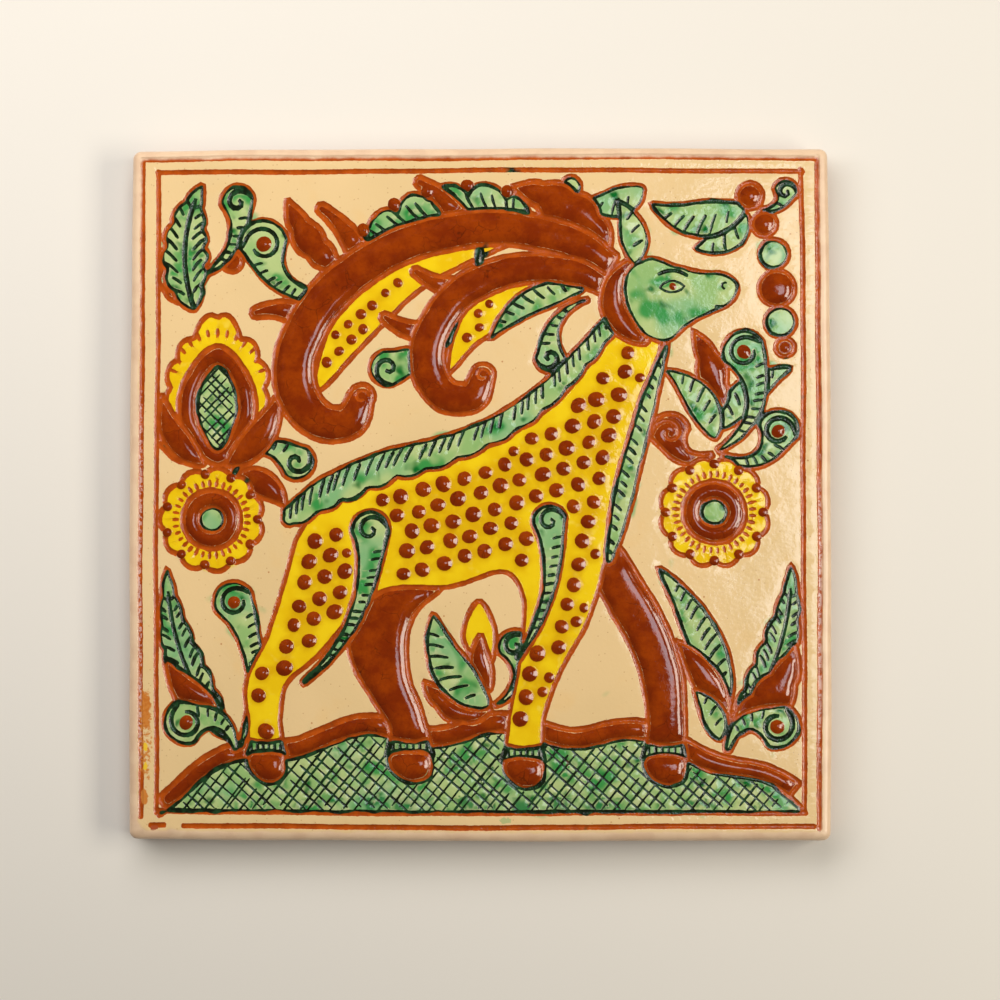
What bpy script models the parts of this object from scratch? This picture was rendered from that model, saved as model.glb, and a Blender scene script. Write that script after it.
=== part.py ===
"""A nearly square glazed clay tile, lying on its back: a spotted stag among plants, on a hatched hill.

The face is a flat sheet with V-shaped scratched outlines, raised brown slip and round drops of slip. The
picture is drawn in millimetres from the middle of the face, and the solid is made in metres.
"""

import bmesh
import bpy
import numpy as np
from mathutils.geometry import delaunay_2d_cdt

MM = 0.001

WIDTH = 199.0
HEIGHT = 196.6
THICKNESS = 12.0
SHOULDER = 2.0
CORNER = 2.4
FOOT_BEVEL = 0.8
SIDE_BOW = 0.5
CORNER_POINTS = 5
SIDE_POINTS = 7
RIM_INSET = 1.0
RIM_RINGS = 4

LINE_HALF = 0.8
LINE_DEPTH = 0.4
BORDER_HALF = 0.8
OUTER_LINE = (96.1, -94.3, 95.5)
INNER_LINE = (91.6, -90.2, 91.7)
ROPE_ENDS = (-88.2, 89.0)
SLIP_RISE = 0.5
DROP_RISE = 0.9
DROP_SIDES = 6
CHORD_ERROR = 0.34
LONGEST_CHORD = 16.0
SHORTEST_RUN = 6
WELD = 0.02

KEY_COUNT = 6
KEY_WIDTH = 7.0
KEY_DEPTH = 1.2
KEY_MARGIN = 22.0

CELL = 0.2
COLUMNS, ROWS = round(WIDTH / CELL), round(HEIGHT / CELL)
CREAM, GREEN, YELLOW, BROWN = range(4)


def resample(line, step):
    """The same line with points at equal steps along it."""
    along = np.concatenate([[0.0], np.cumsum(np.hypot(*np.diff(line, axis=0).T))])
    at = np.linspace(0.0, along[-1], max(2, round(along[-1] / step) + 1))
    return np.column_stack([np.interp(at, along, line[:, 0]), np.interp(at, along, line[:, 1])])


def thin(line):
    """As few points as keep each chord within CHORD_ERROR of the line: the square root of the bend, added up
    along the line, grows by the same amount from each point kept to the next."""
    run = np.diff(line, axis=0)
    heading = np.unwrap(np.arctan2(run[:, 1], run[:, 0]))
    step = np.hypot(run[:, 0], run[:, 1])
    bend = np.zeros(len(step))
    bend[1:] = np.abs(np.diff(heading)) / np.maximum(0.5 * (step[1:] + step[:-1]), 1e-6)
    bend = np.convolve(bend, np.ones(5) / 5, "same")
    pace = np.maximum(np.sqrt(bend / (8 * CHORD_ERROR)), 1 / LONGEST_CHORD)
    along = np.concatenate([[0.0], np.cumsum(pace * step)])
    at = np.linspace(0.0, along[-1], max(2, int(np.ceil(along[-1])) + 1))
    return np.column_stack([np.interp(at, along, line[:, 0]), np.interp(at, along, line[:, 1])])


def curve(points, closed=False):
    """A Catmull-Rom curve through the points: each span is the cubic set by its two neighbours."""
    p = np.array(points, float)
    p = np.vstack([p[-1], p, p[:2]]) if closed else np.vstack([2 * p[0] - p[1], p, 2 * p[-1] - p[-2]])
    t = np.linspace(0.0, 1.0, 12, endpoint=False)[:, None, None]
    a, b, c, d = p[:-3], p[1:-2], p[2:-1], p[3:]
    spans = b + 0.5 * t * (c - a + t * (2 * a - 5 * b + 4 * c - d + t * (3 * (b - c) + d - a)))
    return np.vstack([spans.transpose(1, 0, 2).reshape(-1, 2), p[-2]])


def bow(base, tip, bend):
    """A parabola from base to tip whose middle stands off the straight by bend, to the left if positive."""
    t = np.linspace(0.0, 1.0, 48)[:, None]
    base, tip = np.array(base, float), np.array(tip, float)
    reach = tip - base
    left = np.array([-reach[1], reach[0]]) / np.hypot(*reach)
    return base + reach * t + left * bend * 4 * t * (1 - t)


def arc(centre, radius, start=0.0, sweep=2 * np.pi, count=36):
    angle = start + np.linspace(0.0, sweep, count)
    return np.array(centre) + radius * np.column_stack([np.cos(angle), np.sin(angle)])


def sides(line):
    """Unit vectors to the left of a line, at each of its points."""
    run = np.gradient(line, axis=0)
    run = run / np.hypot(run[:, 0], run[:, 1])[:, None]
    return np.column_stack([-run[:, 1], run[:, 0]])


def ribbon(spine, half, blunt=True):
    """The closed outline that lies half to each side of a spine, with a round end if blunt."""
    left = sides(spine) * np.broadcast_to(half, len(spine))[:, None]
    rim = [spine + left, (spine - left)[::-1]]
    if blunt:
        way = left[-1]
        rim.insert(1, arc(spine[-1], np.hypot(*way), np.arctan2(way[1], way[0]), -np.pi, 14)[1:-1])
    return np.vstack(rim)


class Picture:
    """Fields, scratched lines and slip drops. What is drawn first lies in front."""

    def __init__(self):
        self.owner = np.zeros((ROWS, COLUMNS), np.int16)
        self.finish = [CREAM]
        self.lines = []
        self.drops = []

    def look(self, points):
        """The field that owns the cell under each point."""
        column = np.clip(((points[:, 0] + WIDTH / 2) / CELL).astype(int), 0, COLUMNS - 1)
        row = np.clip(((points[:, 1] + HEIGHT / 2) / CELL).astype(int), 0, ROWS - 1)
        return self.owner[row, column]

    def fill(self, outline):
        """The cells inside a closed outline: each side toggles a cell in every row it crosses, and the
        running sum along the row is odd inside."""
        x, y = (outline + [WIDTH / 2, HEIGHT / 2]).T / CELL - 0.5
        x2, y2 = np.roll(x, -1), np.roll(y, -1)
        low = np.ceil(np.minimum(y, y2)).astype(int)
        crossed = np.ceil(np.maximum(y, y2)).astype(int) - low
        side = np.repeat(np.arange(len(x)), crossed)
        row = np.arange(len(side)) - np.repeat(np.cumsum(crossed) - crossed, crossed) + low[side]
        column = x[side] + (row - y[side]) * (x2 - x)[side] / (y2 - y)[side]
        on_face = (row >= 0) & (row < ROWS)
        column = np.clip(np.ceil(column[on_face]).astype(int), 0, COLUMNS - 1)
        toggles = np.zeros((ROWS, COLUMNS), np.int8)
        np.add.at(toggles, (row[on_face], column), 1)
        return np.cumsum(toggles, axis=1) % 2 == 1

    def field(self, outline, finish):
        """A filled shape with its scratched outline, behind all that is drawn already."""
        ring = resample(np.vstack([outline, outline[:1]]), 0.4)
        shown = (self.look(ring) == 0).astype(int)
        ends = np.flatnonzero(np.diff(np.concatenate([[0], shown, [0]])))
        for first, last in ends.reshape(-1, 2):
            if last - first > SHORTEST_RUN:
                self.lines.append((thin(ring[first:last]), LINE_HALF))
        here = self.fill(outline) & (self.owner == 0)
        self.finish.append(finish)
        self.owner[here] = len(self.finish) - 1
        return len(self.finish) - 1

    def drop(self, field, centres, radius):
        """Round drops of slip at the points that lie well inside their field, clear of earlier drops."""
        clear = np.ones(len(centres), bool)
        for way in arc((0.0, 0.0), radius + 0.9, count=9):
            clear &= self.look(centres + way) == field
        for x, y, other in self.drops:
            clear &= np.hypot(centres[:, 0] - x, centres[:, 1] - y) > radius + other + 1.0
        self.drops += [(x, y, radius) for x, y in centres[clear]]


def leaf(picture, base, tip, bend, width, finish=GREEN):
    """A pointed blade, widest below its middle."""
    spine = bow(base, tip, bend)
    t = np.linspace(0.0, 1.0, len(spine))
    picture.field(ribbon(spine, 0.5 * width * np.sin(np.pi * t**0.8) ** 0.85 + 0.02, blunt=False), finish)


def scroll(picture, base, head, bend, radius, finish=GREEN):
    """A comma that widens to a round head."""
    spine = bow(base, head, bend)
    t = np.linspace(0.0, 1.0, len(spine))
    picture.field(ribbon(spine, radius * (0.12 + 0.50 * t + 0.38 * t**6)), finish)


def tine(picture, base, tip, bend, root):
    """A bowed bar of slip that narrows from its root to a blunt point."""
    spine = bow(base, tip, bend)
    picture.field(ribbon(spine, np.linspace(root, 0.35 * root, len(spine))), BROWN)


def swell(count, halves):
    """Half widths along a spine of so many points, through a few given ones at equal steps."""
    return np.interp(np.linspace(0.0, 1.0, count), np.linspace(0.0, 1.0, len(halves)), halves)


def beam(picture, points, halves):
    """The main bar of an antler."""
    spine = curve(points)
    picture.field(ribbon(spine, swell(len(spine), halves)), BROWN)


def crest(picture, points, rise):
    """A leaf that stands along one side of a curve."""
    spine = curve(points)
    height = rise * np.sin(np.pi * np.linspace(0.02, 0.98, len(spine))) ** 0.4
    picture.field(np.vstack([spine - sides(spine) * height[:, None], spine[::-1]]), GREEN)


def disc(picture, centre, radius, finish=BROWN):
    picture.field(arc(centre, radius, count=26)[:-1], finish)


def rosette(picture, centre, radius):
    """A round flower: green eye, brown ring and yellow petals."""
    disc(picture, centre, 0.24 * radius, GREEN)
    disc(picture, centre, 0.56 * radius)
    disc(picture, centre, 0.95 * radius, YELLOW)


def stagger(pitch, turn, wander, seed):
    """Points in staggered rows over the whole face, turned, each a little out of its place."""
    column, row = np.meshgrid(np.arange(-30, 31), np.arange(-34, 35))
    grid = pitch * np.column_stack([(column + 0.5 * (row % 2)).ravel(), 0.88 * row.ravel()])
    grid = grid + np.random.default_rng(seed).normal(0.0, wander, grid.shape)
    c, s = np.cos(turn), np.sin(turn)
    return grid @ np.array([[c, s], [-s, c]])


def draw_hoof(picture, x, y, width):
    toe = [(-0.50, 4.0), (-0.60, 0.0), (-0.10, -4.0), (0.52, -3.2), (0.66, 0.8), (0.50, 4.0)]
    picture.field(curve([(x + width * across, y + up) for across, up in toe], closed=True), BROWN)
    cuff = bow((x - 0.64 * width, y + 5.6), (x + 0.64 * width, y + 5.6), -0.8)
    picture.field(ribbon(cuff, 2.3, blunt=False), GREEN)


def draw_head(picture):
    leaf(picture, (44.0, 65.0), (39.5, 83.0), -2.0, 7.6)
    picture.field(curve([(42.0, 62.5), (48.5, 66.8), (55.5, 64.8), (62.5, 62.8), (69.5, 62.2), (73.4, 58.8),
                         (71.6, 54.0), (65.5, 51.0), (59.0, 47.6), (53.5, 43.2), (47.0, 45.0), (42.0, 53.0)],
                        closed=True), GREEN)
    picture.field(curve([(42.8, 66.2), (36.0, 61.0), (34.6, 52.6), (39.0, 45.2), (47.5, 42.2), (48.0, 50.0),
                         (45.0, 58.0)], closed=True), BROWN)


def draw_trunk(picture):
    """Mane, chest band, and the trunk with the near legs, under drops of slip."""
    scroll(picture, (11.0, -47.0), (20.0, -8.0), -4.0, 4.8)
    scroll(picture, (-50.0, -54.0), (-31.0, -10.5), -6.0, 5.4)
    back = curve([(39.0, 50.0), (29.5, 38.6), (18.5, 27.4), (5.0, 18.0), (-11.0, 11.6), (-27.0, 7.0),
                  (-42.0, 0.6), (-54.0, -7.4)])
    picture.field(ribbon(back, swell(len(back), [2.2, 3.0, 3.3, 3.6, 4.0, 4.6, 4.5, 3.0])), GREEN)
    chest = bow((36.8, -20.0), (53.4, 42.5), 1.1)
    swelling = 2.9 * np.sin(np.pi * np.linspace(0.03, 0.97, len(chest)) ** 0.8) ** 0.7
    picture.field(ribbon(chest, swelling, blunt=False), GREEN)
    trunk = picture.field(curve([
        (44.0, 50.0), (34.0, 40.0), (22.0, 26.0), (8.0, 16.0), (-10.0, 9.0), (-28.0, 4.5), (-43.0, -2.0),
        (-51.5, -12.0), (-55.5, -26.0), (-60.0, -40.0), (-66.0, -53.0), (-65.6, -64.0), (-64.8, -72.5),
        (-56.4, -72.5), (-56.4, -63.0), (-54.4, -54.0), (-46.0, -46.5), (-37.0, -36.0), (-26.0, -27.5),
        (-8.0, -26.5), (7.0, -22.5), (12.6, -30.0), (11.8, -44.0), (9.6, -57.0), (8.0, -67.0), (8.4, -73.0),
        (17.0, -73.0), (18.6, -62.0), (23.4, -50.0), (30.0, -38.0), (35.0, -23.0), (38.4, -6.0),
        (41.6, 12.0), (46.0, 28.0), (51.5, 42.0)], closed=True), YELLOW)
    picture.drop(trunk, stagger(6.1, 0.28, 0.25, 4), 2.0)
    picture.drop(trunk, stagger(4.3, 0.05, 0.2, 5), 1.4)


def draw_far_legs(picture):
    picture.field(curve([(-40.0, -24.0), (-38.5, -36.0), (-36.0, -48.0), (-30.6, -58.0), (-25.6, -66.0),
                         (-24.8, -72.0), (-14.6, -72.0), (-16.0, -62.0), (-19.6, -53.0), (-20.6, -43.0),
                         (-18.0, -34.0), (-10.0, -25.0), (-24.0, -18.0)], closed=True), BROWN)
    picture.field(curve([(32.0, -22.0), (37.0, -33.0), (43.0, -44.0), (46.6, -56.0), (47.8, -66.0),
                         (47.8, -72.5), (57.4, -72.5), (58.2, -62.0), (57.2, -50.0), (53.0, -37.0),
                         (46.0, -25.0), (40.0, -15.0), (35.0, -8.0)], closed=True), BROWN)


def draw_stag(picture):
    draw_head(picture)
    for x, y, width in ((-60.4, -77.6, 8.2), (12.6, -79.2, 8.6)):
        draw_hoof(picture, x, y, width)
    draw_trunk(picture)
    for x, y, width in ((-19.6, -77.4, 9.4), (52.6, -78.4, 9.2)):
        draw_hoof(picture, x, y, width)
    draw_far_legs(picture)


def draw_antlers(picture):
    """Two swept beams that hook at their lower ends, with tines, yellow fields under them and leaves between."""
    beam(picture, [(37.0, 58.5), (26.0, 63.0), (10.0, 63.5), (-5.0, 57.0), (-13.5, 45.5), (-14.5, 35.0),
                   (-9.5, 27.6), (-1.8, 27.6), (1.0, 33.6)], [2.8, 3.8, 4.3, 4.6, 4.8, 4.8, 4.6, 4.2, 3.4])
    for base, tip in (((-2.0, 58.5), (-18.0, 63.0)), ((-12.0, 46.0), (-27.0, 50.0))):
        tine(picture, base, tip, 1.6, 3.6)
    beam(picture, [(38.0, 64.5), (25.0, 72.0), (3.0, 75.5), (-21.0, 71.0), (-41.0, 58.5), (-51.5, 42.0),
                   (-52.0, 29.0), (-45.5, 20.5), (-37.0, 20.5), (-33.5, 27.5)],
         [3.4, 4.6, 5.0, 5.2, 5.6, 5.8, 5.6, 5.2, 4.6, 3.6])
    for base, tip in (((-5.0, 75.0), (-17.0, 88.5)), ((-33.0, 64.5), (-45.0, 81.0)), ((-48.0, 49.0), (-63.5, 51.5))):
        tine(picture, base, tip, -1.8, 4.1)
    scroll(picture, (31.0, 55.0), (20.0, 38.5), -4.0, 4.4)
    leaf(picture, (30.0, 58.0), (3.0, 43.5), -4.0, 7.4)
    picture.field(curve([(27.0, 61.0), (8.0, 61.0), (-5.0, 50.0), (-9.0, 34.0), (0.0, 43.0), (14.0, 52.0)],
                        closed=True), YELLOW)
    scroll(picture, (0.0, 69.5), (-26.0, 35.5), 8.0, 5.2)
    picture.field(curve([(14.0, 74.0), (-8.0, 72.5), (-30.0, 63.0), (-43.0, 47.0), (-46.5, 29.0),
                         (-33.0, 42.0), (-18.0, 57.0), (-2.0, 66.0)], closed=True), YELLOW)
    leaf(picture, (37.0, 69.0), (9.0, 87.0), -3.5, 13.0, BROWN)
    crest(picture, [(15.0, 76.0), (3.0, 77.0), (-12.0, 74.5), (-24.0, 70.0), (-37.0, 61.5)], 12.0)
    scroll(picture, (-42.0, 57.0), (-61.5, 71.0), 6.0, 7.0)
    leaf(picture, (-40.0, 64.0), (-55.0, 84.0), 2.0, 9.0, BROWN)


def draw_left_plants(picture):
    rosette(picture, (-76.0, -7.5), 14.8)
    scroll(picture, (-69.0, -73.0), (-83.0, -65.0), -5.0, 6.4)
    scroll(picture, (-68.0, -72.0), (-69.5, -31.0), -5.0, 5.8)
    leaf(picture, (-71.0, -66.0), (-89.0, -47.0), 2.0, 8.5, BROWN)
    leaf(picture, (-70.0, -70.0), (-88.5, -21.0), 5.0, 10.6)
    picture.field(curve([(-74.5, 12.0), (-80.0, 21.0), (-79.5, 30.0), (-74.5, 36.5), (-69.5, 30.0),
                         (-69.0, 21.0)], closed=True), GREEN)
    leaf(picture, (-72.0, 8.0), (-57.0, 29.0), -3.0, 8.0, BROWN)
    leaf(picture, (-78.0, 8.0), (-90.0, 28.0), 3.0, 7.0, BROWN)
    picture.field(curve([(-74.5, 8.0), (-84.5, 19.0), (-84.0, 32.0), (-74.5, 42.0), (-65.0, 32.0),
                         (-64.5, 19.0)], closed=True), BROWN)
    picture.field(curve([(-88.5, 22.0), (-88.0, 38.0), (-80.0, 48.0), (-74.5, 53.0), (-69.0, 48.0),
                         (-61.0, 38.0), (-60.5, 22.0)], closed=True), YELLOW)
    scroll(picture, (-70.0, 5.0), (-52.0, 9.0), 6.0, 5.2)
    leaf(picture, (-69.0, 5.0), (-55.0, -4.0), 2.0, 7.5, BROWN)
    leaf(picture, (-80.5, 9.0), (-90.5, 14.0), -1.0, 6.0)
    leaf(picture, (-81.0, 52.0), (-79.0, 88.5), 4.0, 13.0)
    scroll(picture, (-79.0, 62.0), (-69.0, 83.0), -4.0, 4.8)
    leaf(picture, (-84.0, 54.0), (-88.5, 70.0), 2.0, 6.5, BROWN)
    disc(picture, (-70.5, 66.0), 3.0)


def draw_right_plants(picture):
    rosette(picture, (66.5, -5.5), 15.6)
    scroll(picture, (67.5, 12.0), (75.0, 40.0), -7.0, 6.2)
    scroll(picture, (69.0, 10.5), (84.5, 17.5), -5.0, 6.0)
    scroll(picture, (66.0, 11.0), (54.0, 17.0), 4.0, 5.6, BROWN)
    leaf(picture, (67.0, 15.0), (52.5, 35.0), -3.0, 8.6)
    leaf(picture, (67.5, 22.0), (60.5, 46.5), -2.0, 8.5, BROWN)
    leaf(picture, (69.0, 18.0), (88.5, 35.5), 3.0, 8.6)
    scroll(picture, (70.0, -73.0), (84.0, -66.0), 5.0, 6.4)
    leaf(picture, (71.0, -66.0), (89.0, -43.0), -4.0, 12.0, BROWN)
    leaf(picture, (70.0, -70.0), (88.0, -20.0), -5.0, 11.0)
    leaf(picture, (68.0, -70.0), (60.5, -55.5), -1.5, 6.5)
    leaf(picture, (69.0, -66.0), (56.0, -42.0), -2.0, 8.5, BROWN)
    leaf(picture, (70.0, -62.0), (50.5, -21.0), -3.0, 9.6)


def draw_garland(picture):
    """Berries down the right border and leaves along the top one."""
    for x, y, radius, finish in ((77.0, 84.6, 3.7, BROWN), (81.0, 76.4, 3.6, BROWN), (83.6, 67.8, 4.2, GREEN),
                                 (84.4, 58.2, 5.2, BROWN), (85.4, 48.6, 4.3, GREEN), (86.6, 41.2, 2.7, BROWN)):
        disc(picture, (x, y), radius, finish)
    leaf(picture, (76.0, 82.0), (48.5, 82.5), 4.5, 10.0)
    leaf(picture, (76.0, 79.5), (61.0, 69.5), 2.5, 8.4)
    scroll(picture, (80.0, 80.5), (87.2, 85.6), -2.0, 3.6)
    leaf(picture, (47.0, 87.0), (29.5, 83.0), 2.5, 8.4)
    disc(picture, (26.2, 87.2), 2.8, GREEN)


def draw_sprig(picture):
    leaf(picture, (3.0, -60.5), (-13.0, -34.0), 4.0, 11.0)
    scroll(picture, (4.5, -60.0), (10.0, -43.5), -4.0, 4.8)
    leaf(picture, (3.5, -61.5), (-16.0, -53.0), 3.0, 8.5, BROWN)
    leaf(picture, (3.2, -56.0), (0.5, -40.0), 1.5, 6.0, BROWN)
    picture.field(curve([(2.0, -50.0), (-4.6, -41.0), (0.0, -30.5), (4.8, -40.0)], closed=True), YELLOW)


def draw_ground(picture):
    """The hill, whose top is a long swell with a small wave on it, and the rope of slip along its crest."""
    end, low = INNER_LINE[0] - 0.8, INNER_LINE[1]
    x = np.linspace(-end, end, 200)
    top = -69.5 - 20.0 * np.abs(x / end) ** 3.2 + 2.1 * np.sin(2 * np.pi * x / 39.0 + 0.5)
    crest = np.column_stack([x, top])
    picture.field(np.vstack([crest, [(end, low), (-end, low)]]), GREEN)
    rope = (crest + 2.1 * sides(crest))[::-1]
    rope = rope[(rope[:, 0] > ROPE_ENDS[0]) & (rope[:, 0] < ROPE_ENDS[1])]
    picture.field(ribbon(rope, swell(len(rope), [2.3, 3.1, 3.1, 3.1, 3.1, 3.1, 2.2])), BROWN)


def draw_border(picture):
    for x, low, high in (OUTER_LINE, INNER_LINE):
        corners = np.array([(-x, low), (x, low), (x, high), (-x, high), (-x, low)])
        picture.lines += [(corners[i:i + 2], BORDER_HALF) for i in range(4)]


def draw_picture():
    picture = Picture()
    draw_stag(picture)
    draw_antlers(picture)
    draw_left_plants(picture)
    draw_right_plants(picture)
    draw_garland(picture)
    draw_sprig(picture)
    draw_ground(picture)
    draw_border(picture)
    return picture


def groove_depth(picture):
    """Depth of the scratched lines in each cell: a V across each line, deepest where lines cross."""
    depth = np.zeros((ROWS, COLUMNS))
    reach = int(BORDER_HALF / CELL) + 1
    offset = np.stack(np.meshgrid(np.arange(-reach, reach + 1), np.arange(-reach, reach + 1)), -1).reshape(-1, 2)
    for line, half in picture.lines:
        point = resample(line, 0.5 * CELL)
        place = (point + [WIDTH / 2, HEIGHT / 2]) / CELL - 0.5
        cell = np.round(place).astype(int)[:, None] + offset
        gap = np.hypot(*np.moveaxis(cell - place[:, None], -1, 0)) * CELL
        cell = np.clip(cell, 0, [COLUMNS - 1, ROWS - 1])
        np.maximum.at(depth, (cell[..., 1], cell[..., 0]), LINE_DEPTH * np.clip(1 - gap / half, 0, 1))
    return depth


def sample(raster, points):
    """The raster's value at each point, weighted between its four nearest cells."""
    place = (points + [WIDTH / 2, HEIGHT / 2]) / CELL - 0.5
    place = np.clip(place, 0, [COLUMNS - 1.001, ROWS - 1.001])
    cell = place.astype(int)
    u, v = (place - cell).T
    column, row = cell.T
    lower = raster[row, column] * (1 - u) + raster[row, column + 1] * u
    upper = raster[row + 1, column] * (1 - u) + raster[row + 1, column + 1] * u
    return lower * (1 - v) + upper * v


def outline(inset):
    """A rectangle with round corners, inset from the tile's widest line, with a few points along each side
    for its slight bow."""
    core = np.array([WIDTH / 2 - CORNER, HEIGHT / 2 - CORNER])
    corners = [arc(core * sign, CORNER - inset, (turn - 1) * np.pi / 2, np.pi / 2, CORNER_POINTS)
               for turn, sign in enumerate(((1, -1), (1, 1), (-1, 1), (-1, -1)))]
    runs = [np.linspace(here[-1], there[0], SIDE_POINTS + 2)[1:-1]
            for here, there in zip(corners, corners[1:] + corners[:1])]
    return np.vstack([stretch for pair in zip(corners, runs) for stretch in pair])


def shoulder_drop(points):
    """How far the rounded shoulder lies below the flat of the face: a quarter circle of radius SHOULDER."""
    core = np.array([WIDTH / 2 - CORNER, HEIGHT / 2 - CORNER])
    out = np.hypot(*np.maximum(np.abs(points) - core, 0).T) - (CORNER - SHOULDER)
    out = np.clip(out, 0, SHOULDER)
    return SHOULDER - np.sqrt(SHOULDER**2 - out**2)


def face_height(picture, points):
    """Height above the flat of the face: slip and drops stand up, scratches and the shoulder go down."""
    depth = sample(groove_depth(picture), points)
    slip = (np.array(picture.finish) == BROWN)[picture.look(points)] & (depth < 0.3 * LINE_DEPTH)
    drops = np.array(picture.drops)
    gap = np.hypot(*(points[:, None] - drops[:, :2]).transpose(2, 0, 1)) / drops[:, 2]
    dome = DROP_RISE * np.sqrt(np.clip(1 - gap.min(axis=1) ** 2, 0, 1))
    return slip * SLIP_RISE + dome - depth - shoulder_drop(points)


def face_lines(picture):
    """The lines that the face's triangles follow: the middle and both edges of every scratch, and the rim and
    the middle point of every drop."""
    strands = []
    for line, half in picture.lines:
        left = sides(line) * half
        strands += [line - left, line, line + left]
    for x, y, radius in picture.drops:
        strands.append(arc((x, y), radius, count=DROP_SIDES + 1))
        strands.append(np.array([(x, y)]))
    return strands


def sheet(loop, strands, height):
    """Triangles over the inside of a closed loop, with edges along the strands, at the height of a function."""
    chains = [np.vstack([loop, loop[:1]]), *strands]
    first = np.cumsum([0] + [len(chain) for chain in chains])
    edges = [(a, a + 1) for start, chain in zip(first, chains) for a in range(start, start + len(chain) - 1)]
    flat, _, faces, *_ = delaunay_2d_cdt(np.vstack(chains), edges, [], 1, 2 * WELD, False)
    flat = np.array(flat)
    return np.column_stack([flat, height(flat)]), faces


def key_strands():
    """The shallow grooves across the back that mortar keys into: a rectangle inside a rectangle for each."""
    pitch = (HEIGHT - 2 * KEY_MARGIN) / KEY_COUNT
    strands = []
    for y in (np.arange(KEY_COUNT) - (KEY_COUNT - 1) / 2) * pitch:
        for inset in (0.0, KEY_DEPTH):
            x, half = WIDTH / 2 - KEY_MARGIN - inset, KEY_WIDTH / 2 - inset
            strands.append(np.array([(-x, y - half), (x, y - half), (x, y + half), (-x, y + half), (-x, y - half)]))
    return strands


def key_height(points):
    """Height of the back: level, and rising at 45 degrees into each key groove."""
    pitch = (HEIGHT - 2 * KEY_MARGIN) / KEY_COUNT
    place = points[:, 1] / pitch + (KEY_COUNT - 1) / 2
    across = np.abs(place - np.clip(np.round(place), 0, KEY_COUNT - 1)) * pitch
    inside = np.minimum(KEY_WIDTH / 2 - across, WIDTH / 2 - KEY_MARGIN - np.abs(points[:, 0]))
    return np.clip(inside, 0, KEY_DEPTH)


def settle(points):
    """The sides bow out a little between the corners, and the whole sits with its middle over the origin."""
    x, y, z = points.T
    x = x + np.sign(x) * SIDE_BOW * (np.abs(x) / (WIDTH / 2)) ** 3 * (1 - (2 * y / HEIGHT) ** 2)
    y = y + np.sign(y) * SIDE_BOW * (np.abs(y) / (HEIGHT / 2)) ** 3 * (1 - (2 * x / WIDTH) ** 2)
    middle = [(x.max() + x.min()) / 2, (y.max() + y.min()) / 2, z.min()]
    return np.column_stack([x, y, z]) - middle


def edge_profile(flat_of_face):
    """Inset and height of each ring from the face down the round shoulder and the side to the back's bevel."""
    start = np.arcsin((SHOULDER - RIM_INSET) / SHOULDER)
    turn = np.linspace(start, np.pi / 2, RIM_RINGS)
    round_part = np.column_stack([SHOULDER * (1 - np.sin(turn)), flat_of_face - SHOULDER * (1 - np.cos(turn))])
    return np.vstack([round_part, [(0.0, FOOT_BEVEL), (FOOT_BEVEL, 0.0)]])


def rim(picture, flat_of_face):
    """The band of quads that joins the face to the back, one ring of points for each step of the profile."""
    rings = [np.column_stack([outline(inset), np.full(len(outline(inset)), z)])
             for inset, z in edge_profile(flat_of_face)]
    rings[0][:, 2] = face_height(picture, outline(RIM_INSET)) + flat_of_face
    around = len(rings[0])
    this = np.arange(around)
    following = (this + 1) % around
    bands = [np.column_stack([this, this + around, following + around, following]) + ring * around
             for ring in range(len(rings) - 1)]
    return np.vstack(rings), np.vstack(bands)


def add_tile(picture):
    """Face sheet, back sheet and the rim between them, welded into one solid."""
    flat_of_face = THICKNESS - DROP_RISE
    face, face_triangles = sheet(outline(RIM_INSET), face_lines(picture), lambda p: face_height(picture, p))
    face[:, 2] += flat_of_face
    back, back_triangles = sheet(outline(FOOT_BEVEL), key_strands(), key_height)
    edge, edge_quads = rim(picture, flat_of_face)

    points = settle(np.vstack([face, back, edge])) * MM
    faces = [*face_triangles]
    faces += [[len(face) + i for i in reversed(triangle)] for triangle in back_triangles]
    faces += (edge_quads + len(face) + len(back)).tolist()
    mesh = bpy.data.meshes.new("tile")
    mesh.from_pydata(points, [], faces)
    solid = bmesh.new()
    solid.from_mesh(mesh)
    bmesh.ops.remove_doubles(solid, verts=solid.verts, dist=WELD * MM)
    bmesh.ops.dissolve_degenerate(solid, edges=solid.edges, dist=WELD * MM)
    bmesh.ops.triangulate(solid, faces=solid.faces)
    solid.to_mesh(mesh)
    solid.free()
    tile = bpy.data.objects.new("tile", mesh)
    bpy.context.collection.objects.link(tile)
    return tile


def glazed_clay():
    material = bpy.data.materials.new("glazed clay")
    material.use_nodes = True
    shader = material.node_tree.nodes["Principled BSDF"]
    shader.inputs["Base Color"].default_value = (0.80, 0.60, 0.33, 1.0)
    shader.inputs["Roughness"].default_value = 0.25
    shader.inputs["Metallic"].default_value = 0.0
    return material


for old in list(bpy.data.objects):
    bpy.data.objects.remove(old)
tile = add_tile(draw_picture())
tile.data.materials.append(glazed_clay())
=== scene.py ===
"""The look of a hand-made glazed wall tile with a scratched and slip-painted stag, lying on its back.

The picture is drawn in millimetres from the middle of the face: x to its right, y to its top. The mesh is
made in metres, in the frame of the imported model.
"""

import itertools
import math

import bpy
import numpy as np
from mathutils import Euler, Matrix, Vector
from mathutils.geometry import delaunay_2d_cdt


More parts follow.
